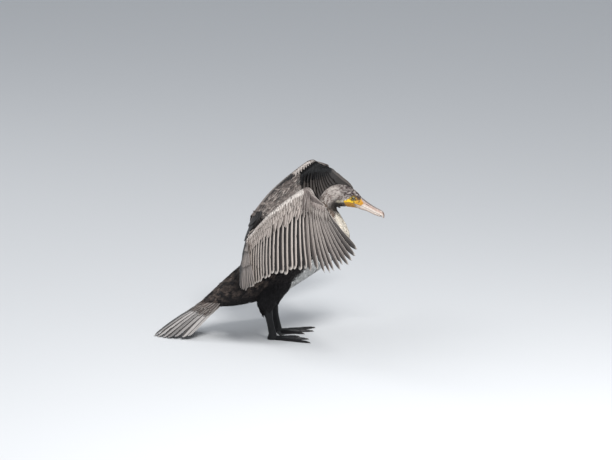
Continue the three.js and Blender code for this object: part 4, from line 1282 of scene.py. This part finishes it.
SECONDARIES = tier(-0.03, 0.97, 17, 0.0185, 0.08, 1.0)
PRIMARIES = tier(1.05, 1.97, 11, 0.027, 0.06, 1.0, outline=HAND_TIP)
OUTER_DARK = ((1.5, 1.97), (1.0, 0.4))  # the outermost feathers of the hand are darker
# a painted highlight: the pale of the wing's lit front edge
LIT_RIDGE_PALE = linear(226, 217, 209)
WEB_GREY = linear(172, 160, 152)
HAND_BROWN = linear(140, 126, 120)
COVERT_ROWS = (
    # on the forearm: greater, median and three rows of lesser coverts, the last at the front edge; the front
    # two rows carry a painted highlight of the lit ridge
    tier(-0.06, 0.99, 26, 0.0125, 0.07, 0.38, (0.001, 0.0022), over_arm=0.8, shaft=0.2, tint=WEB_GREY),
    tier(-0.05, 0.99, 28, 0.0115, 0.06, 0.25, (0.0016, 0.0038), over_arm=0.95, tint=WEB_GREY * 0.95),
    tier(-0.04, 0.99, 32, 0.0095, 0.045, 0.165, (0.0018, 0.0046), tint=WEB_GREY * 0.92),
    tier(-0.03, 0.99, 36, 0.0085, 0.025, 0.115, (0.001, 0.004), tint=LIT_RIDGE_PALE * 0.9),
    tier(-0.02, 0.99, 40, 0.0078, 0.004, 0.072, (-0.001, 0.003), tint=LIT_RIDGE_PALE),
    # on the hand: greater, median and lesser coverts, and the feathers of the thumb
    tier(1.04, 1.95, 16, 0.015, 0.06, 0.34, (0.001, 0.0024), over_arm=0.8, shaft=0.2, tint=WEB_GREY * 0.85),
    tier(1.03, 1.95, 20, 0.0115, 0.03, 0.19, (0.0014, 0.0036), tint=HAND_BROWN),
    tier(1.0, 1.96, 24, 0.009, 0.0, 0.1, (0, 0.003), tint=HAND_BROWN * 0.75),
    tier(1.02, 1.22, 5, 0.0095, 0.02, 0.34, (0.005, 0.0066), over_arm=0.4, stray=0.06, tint=HAND_BROWN * 0.7),
)
UNDER_ROWS = (
    tier(0.0, 1.95, 34, 0.017, 0.07, 0.34, (-0.001, -0.002), over_arm=0.8),
    tier(0.0, 1.95, 40, 0.0135, 0.04, 0.2, (-0.0014, -0.0034)),
    tier(0.0, 1.95, 48, 0.0105, 0.0, 0.1, (0, -0.003)),
)
TERTIAL_ROOTS = ((0.018, -0.016, 0.006), (0.007, -0.006, 0.005), (0.0, 0.006, -0.002))  # from the elbow
TERTIAL_ROWS = (
    tier(0.02, 1.0, 14, 0.019, 0.0, 1.0, (0.002, 0.004), shaft=0.35),
    tier(0.02, 1.0, 12, 0.018, 0.0, 0.62, (0.004, 0.007), shaft=0.3),
    tier(0.02, 1.0, 10, 0.016, 0.0, 0.34, (0.006, 0.009), shaft=0.2),
)
SCAPULAR_ROOTS = ((0.047, 0.056, 0.277), (0.040, 0.069, 0.274), (0.030, 0.083, 0.268))
SCAPULAR_TIPS = ((-0.066, 0.040, 0.204), (-0.072, 0.074, 0.206), (-0.062, 0.108, 0.212))
SCAPULAR_ROWS = (
    tier(0.02, 1.0, 9, 0.022, 0.0, 1.0, (0.0, 0.002), shaft=0.1),
    tier(0.02, 1.0, 9, 0.020, 0.0, 0.74, (0.0016, 0.004), shaft=0.0),
    tier(0.02, 1.0, 9, 0.018, 0.0, 0.48, (0.003, 0.006), shaft=0.0),
    tier(0.02, 1.0, 9, 0.017, 0.0, 0.25, (0.004, 0.007), shaft=0.0),
)
WEB_EDGE = linear(224, 215, 206)
WEB_DARK = linear(20, 18, 18)
# the under sides' own grey-black, painted darker still as painted shade
UNDER_BLACK_SHADED = linear(17, 16, 17)
TERTIAL_BLACK = linear(34, 30, 29)
flight_feather = feather_material(
    "flight feather", 0.5, 0.4, WEB_EDGE, WEB_DARK,
    Shaft_at=0.68, Shaft_share=0.35, Edge_width=0.08, Edge_share=0.8, Inner_share=0.97,
    Barbs=900.0, Slant=0.35, Streak=0.06,
)
hand_feather = feather_material(
    "hand feather", 0.5, 0.4, WEB_EDGE, linear(62, 54, 51),
    Shaft_at=0.5, Shaft_share=0.35, Edge_width=0.07, Edge_share=0.7, Inner_share=0.8,
    Barbs=900.0, Slant=0.35, Streak=0.06,
)
covert_feather = feather_material(
    "covert feather", 0.55, 0.4, WEB_EDGE, linear(104, 92, 86),
    Shaft_at=0.5, Shaft_share=0.3, Edge_width=0.10, Edge_share=0.65, Inner_share=0.65,
    Barbs=150.0, Slant=1.1, Streak=0.16,
)
# under sides of all wing and tail feathers and the under coverts: dark grey-black with painted shade
shaded_under_feather = feather_material(
    "under side", 0.5, 0.3, UNDER_BLACK_SHADED * 2.5, UNDER_BLACK_SHADED, gloss=0.12,
    Shaft_at=0.5, Shaft_share=0.0, Edge_width=0.04, Edge_share=0.5, Inner_share=0.7,
    Barbs=300.0, Slant=0.4, Streak=0.12,
)
tertial_feather = feather_material(
    "tertial", 0.5, 0.4, WEB_EDGE * 0.8, WEB_DARK,
    Shaft_at=0.62, Shaft_share=0.35, Edge_width=0.06, Edge_share=0.3, Inner_share=0.95,
    Barbs=600.0, Slant=0.35, Streak=0.08,
)
wing_rng = np.random.default_rng(13)
FLOOR_CLEAR = 0.0004
BAKE_FILL = 0.9  # share of its strip or cell of the unwrap that a vane fills


def strips(count):
    """Bake places for long vanes: each has an upright strip of its own."""
    places = np.stack([(np.arange(count) + 0.5) / count, np.full(count, 0.5)], -1)
    return places, (BAKE_FILL / count, 0.98)


def cells(count):
    """Bake places for shorter vanes: each has a cell of a square."""
    side = math.ceil(math.sqrt(count))
    number = np.arange(count)
    places = (np.stack([number % side, number // side], -1) + 0.5) / side
    return places, (BAKE_FILL / side, BAKE_FILL / side)


def wear_rows(name, row, rows, base, top, long=False, slot="flight_feathers", vary=(0.8, 1.2), stain=None):
    """Rows of feathers as one piece, each row's form filled up from base. Tints vary from feather to
    feather, and stain may change them by station. A station before the row's start has no feather."""
    template, layout = (long_vane, strips) if long else (short_vane, cells)
    forms = [{**base, **form} for form in rows]
    stations = np.concatenate([form["stations"] for form in forms])
    points = np.vstack([long_vanes(row, form, template, wing_rng) for form in forms])
    points[..., 2] = np.maximum(points[..., 2], FLOOR_CLEAR)
    tints = np.vstack([np.tile(form["tint"], (len(form["stations"]), 1)) for form in forms])
    tints = tints * wing_rng.uniform(*vary, (len(tints), 1))
    if stain:
        tints = stain(tints, stations)
    built = stations > row.first - row.ROW_REACH
    points, tints = points[built], tints[built]
    return wear(name, slot, plumes(name, template, points, tints, *layout(len(points))), top, shaded_under_feather)


def darker_outside(tints, s):
    return tints * np.interp(s, *OUTER_DARK)[:, None]


def black_inside(tints, s):
    return layered(tints, (1 - step_up(s, 0.25, 0.6), TERTIAL_BLACK))


INNER_ROWS, INNER_COLUMNS = 40, 26
INNER_REAR = 0.47  # how far round the fold the feathers are rooted
INNER_STRAY = (0.012, 0.008)
INNER_SPECKLE = 0.006
INNER_FORM = {**SOFT_FORM, "length": 0.014, "width": 0.0085, "root": 0.0, "stray": 0.16, "roll": 0.14}
for name, wing in WINGS.items():
    row, side = wing_fans[name], wing["side"]
    upper = outward(side, (-0.7, 0.3, 0.6))
    tertial_roots = placed(side, np.array(wing["bones"][0]) + TERTIAL_ROOTS)
    tertial_row = Fan(tertial_roots, placed(side, wing["tertial_tips"]), 0, 1, WING_BOW, upper)
    scapular_row = Fan(placed(side, SCAPULAR_ROOTS), placed(side, SCAPULAR_TIPS), 0, 1, WING_BOW, upper)

    web = {**FLIGHT, "tint": WEB_GREY}
    piece = wear_rows(f"secondaries_{name}", row, [SECONDARIES], web, flight_feather, long=True)
    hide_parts(f"wing_fore_{name}")
    hand_web = {**FLIGHT, "tint": WEB_GREY * 0.85}
    piece = wear_rows(
        f"primaries_{name}", row, [PRIMARIES], hand_web, hand_feather, long=True, stain=darker_outside
    )
    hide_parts(f"wing_hand_{name}")
    piece = wear_rows(
        f"tertials_{name}", tertial_row, TERTIAL_ROWS, web, tertial_feather, long=True, stain=black_inside
    )
    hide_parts(f"wing_upper_{name}")
    scapular = {**FLIGHT, "tint": TERTIAL_BLACK * 2}
    wear_rows(f"scapulars_{name}", scapular_row, SCAPULAR_ROWS, scapular, covert_feather)
    wear_rows(f"coverts_{name}", row, COVERT_ROWS, COVERT, covert_feather)
    below = {**COVERT, "side": -1, "tint": UNDER_BLACK_SHADED * 1.4}
    wear_rows(f"under_coverts_{name}", row, UNDER_ROWS, below, shaded_under_feather)

    # the fold of skin in front of the upper arm, feathered above and below
    def sheet(u, v, sunk, wing=wing, row=row):
        return inner_wing(wing, row, u, np.clip(v, 0, 1))

    u = np.repeat(np.linspace(0.0, 1.0, INNER_ROWS), INNER_COLUMNS)
    v = np.tile(np.linspace(0.0, INNER_REAR, INNER_COLUMNS), INNER_ROWS)
    u, v = (np.tile(at + wing_rng.uniform(-far, far, len(at)), 2) for at, far in zip((u, v), INNER_STRAY))
    above = np.arange(len(v)) < len(v) // 2
    v = np.where(above, v, 1 - v)
    lie = (np.zeros(len(u)), np.where(above, 1.0, -1.0))
    points = lay_vanes(sheet, u, v, lie, small_vane, {**INNER_FORM, "facing": -side}, wing_rng)
    tints = WEB_GREY * wing_rng.uniform(0.8, 1.1, (len(u), 1))
    speckle = step_up(cloudy(sheet(u, v, 0.0), INNER_SPECKLE, 10), -0.35, 0.1) * step_up(u, 0.62, 0.85)
    tints = layered(tints, (speckle, TERTIAL_BLACK), (~above, UNDER_BLACK_SHADED * 1.4))
    bake_at = bake_spots(u.clip(0, 1), v.clip(0, 1))
    mesh = plumes(f"inner_coverts_{name}", small_vane, points, tints, bake_at)
    mesh.polygons.foreach_set("material_index", np.repeat((~above).astype(np.int32), len(small_vane[1])))
    wear(f"inner_coverts_{name}", "flight_feathers", mesh, covert_feather, shaded_under_feather)


# Tail: fourteen stiff feathers in a low roof, worn at their tips, which rest on the floor, with
# shorter ones over and under their roots.
TAIL_ROOTS = ((-0.146, 0.023, 0.080), (-0.160, 0.013, 0.088), (-0.164, 0.0, 0.090))
TAIL_TIPS = ((-0.214, 0.052, 0.010), (-0.268, 0.032, 0.005), (-0.302, 0.0, 0.0012))
TAIL_BOW = 0.03
WORN_TIP = ((0, 0.1, 0.3, 0.7, 0.9, 0.96, 1), (0.35, 0.7, 0.95, 1, 0.82, 0.6, 0.15))
TAIL_FEATHERS = tier(-0.97, 0.97, 14, 0.0158, 0.0, 1.0, shaft=0.15, stray=0.015, ragged=0.02)
TAIL_COVERTS = (  # two rows above and two below
    tier(-0.96, 0.96, 16, 0.0125, -0.12, 0.34, (0.003, 0.003), ragged=0.22, side=1),
    tier(-0.94, 0.94, 16, 0.0115, -0.22, 0.2, (0.005, 0.0055), ragged=0.25, side=1),
    tier(-0.96, 0.96, 14, 0.0145, -0.1, 0.36, (-0.003, -0.0036), ragged=0.15, side=-1),
    tier(-0.94, 0.94, 14, 0.0145, -0.22, 0.22, (-0.005, -0.006), ragged=0.2, side=-1),
)
TAIL_SILVER = linear(176, 170, 166)
TAIL_BROWN = linear(84, 72, 66)
TAIL_VARY = (0.45, 1.15)
tail_feather = feather_material(
    "tail feather", 0.45, 0.4, linear(226, 222, 220), linear(38, 34, 33),
    Shaft_at=0.55, Shaft_share=0.45, Edge_width=0.05, Edge_share=0.6, Inner_share=0.85,
    Barbs=800.0, Slant=0.35, Streak=0.1,
)


def both_sides(points):
    """A half row from its outer end to the middle, carried on to the other side."""
    left = np.array(points)
    return np.vstack([left, left[-2::-1] * (1, -1, 1)]) + STAND


def halves(*rows):
    """Rows cut at the middle of the tail, from where its feathers lie over each other both ways."""
    cut = []
    for form in rows:
        for half in (-1, 1):
            stations = form["stations"][np.sign(form["stations"]) == half]
            cut.append({**form, "stations": stations, "side": form.get("side", 1) * half})
    return cut


tail_row = Fan(both_sides(TAIL_ROOTS), both_sides(TAIL_TIPS), -1, 1, TAIL_BOW, (-0.3, 0, 1))
long_form = {**FLIGHT, "rib": 0.0007, "outline": WORN_TIP, "tint": TAIL_SILVER}
tail = wear_rows(
    "tail_feathers", tail_row, halves(TAIL_FEATHERS), long_form, tail_feather, long=True, vary=TAIL_VARY
)
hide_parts("tail")
short_form = {**COVERT, "over_arm": 0, "tint": TAIL_BROWN}
wear_rows(
    "tail_coverts", tail_row, halves(*TAIL_COVERTS), short_form, covert_feather,
    slot="body_feathers", vary=TAIL_VARY,
)


# Legs and feet: black scaly skin, plates across the front of the shank and along the top of the toes,
# small scales elsewhere, and webs between all four toes. Each leg is one skin over shank and foot.
LEG_CELL = 0.00085
LEG_SCALE = {"size": 0.0026, "high": 0.00042}
WEB_SCALE = {"size": 0.0013, "high": 0.00016}
SCUTE = {"pitch": 0.0027, "high": 0.0004}
SOLE_CLEAR = 0.0002
SHANK_ABOVE = (0.012, 0.018)  # height where the foot turns into the shank
WEB_BELOW = (0.003, 0.0055)  # the webs lie lower than the toes
WEB_BEYOND = (0.016, 0.024)  # and further out than this from the foot's middle
LEG_BLACK = linear(26, 26, 28)
LEG_GROOVE = linear(10, 10, 11)
WEB_BLACK = linear(34, 31, 31)


def merged_copy(*nodes):
    """The solids of some nodes as one bmesh with its points merged."""
    bm = bmesh.new()
    for node in nodes:
        bm.from_mesh(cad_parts[node].data)
    bmesh.ops.remove_doubles(bm, verts=bm.verts, dist=1e-6)
    return bm


def cell_borders(points, size):
    """1 in the middle of scales of about this size, 0 between them."""
    gaps = np.array([noise.voronoi(Vector(p) / size)[0][:2] for p in points])
    return step_up(gaps[:, 1] - gaps[:, 0], 0.04, 0.4)


leg_material = grained("leg skin", 0.45, 0.0008, 0.00015, 0.25, Specular_IOR_Level=0.3)
for name, leg in LEGS.items():
    mesh = one_skin(f"leg_{name}", merged_copy(f"shank_{name}", f"foot_{name}"), LEG_CELL, 3)
    points = spots(mesh)
    normals = np.array([v.normal for v in mesh.vertices])
    foot = placed(leg["side"], (*leg["foot"], 0))
    out = np.hypot(points[:, 0] - foot[0], points[:, 1] - foot[1])
    on_shank = step_up(points[:, 2], *SHANK_ABOVE)
    web = (1 - on_shank) * (1 - step_up(points[:, 2], *WEB_BELOW)) * step_up(out, *WEB_BEYOND)
    big, small = cell_borders(points, LEG_SCALE["size"]), cell_borders(points, WEB_SCALE["size"])
    along = np.where(on_shank > 0.5, points[:, 2], out)
    plate = 1 - step_up(np.abs((along / SCUTE["pitch"]) % 1 - 0.5) * 2, 0.7, 1.0)
    toe_top = step_up(normals[:, 2], 0.45, 0.7) * (1 - web)
    plated = np.where(on_shank > 0.5, step_up(normals[:, 0], 0.35, 0.6), toe_top)
    scales = big * (1 - web) + small * web
    relief = (LEG_SCALE["high"] * (1 - web) + WEB_SCALE["high"] * web) * scales
    relief = relief * (1 - plated) + SCUTE["high"] * plate * plated
    points = points + normals * relief[:, None]
    points[:, 2] = np.maximum(points[:, 2], SOLE_CLEAR)
    mesh.vertices.foreach_set("co", points.ravel())
    mesh.update()
    raised = scales * (1 - plated) + plate * plated
    colours = layered(LEG_GROOVE, (raised, LEG_BLACK), (web * 0.7, WEB_BLACK))
    paint(mesh, colours * (1 + 0.25 * np.clip(cloudy(points, 0.01, 11), -1, 1))[:, None])
    piece = wear(f"leg_{name}", "leg_skin", mesh, leg_material)
    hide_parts(f"shank_{name}", f"foot_{name}")


# Claws: curved dark horn, grown over the end of each toe, with the point worn paler than the root.
# Each is a smoothed copy of its solid.
CLAW_CELL = 0.0004
CLAW_HORN = linear(44, 38, 35)
CLAW_WORN = linear(92, 80, 72)
claw_material = grained("claw", 0.35, 0.0009, 0.0001, 0.3, Coat_Weight=0.3, Coat_Roughness=0.3)
for name, leg in LEGS.items():
    foot = placed(leg["side"], (*leg["foot"], 0))
    for toe in ("hind", "inner", "middle", "outer"):
        mesh = one_skin(f"claw_{toe}_{name}_horn", merged_copy(f"claw_{toe}_{name}"), CLAW_CELL, 4)
        points = spots(mesh)
        out = np.hypot(points[:, 0] - foot[0], points[:, 1] - foot[1])
        to_point = step_up((out - out.min()) / (out.max() - out.min()), 0.35, 1.0)
        paint(mesh, layered(CLAW_HORN, (to_point * 0.7, CLAW_WORN)))
        piece = wear(f"claw_{toe}_{name}_horn", "claw_horn", mesh, claw_material)
        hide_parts(f"claw_{toe}_{name}")
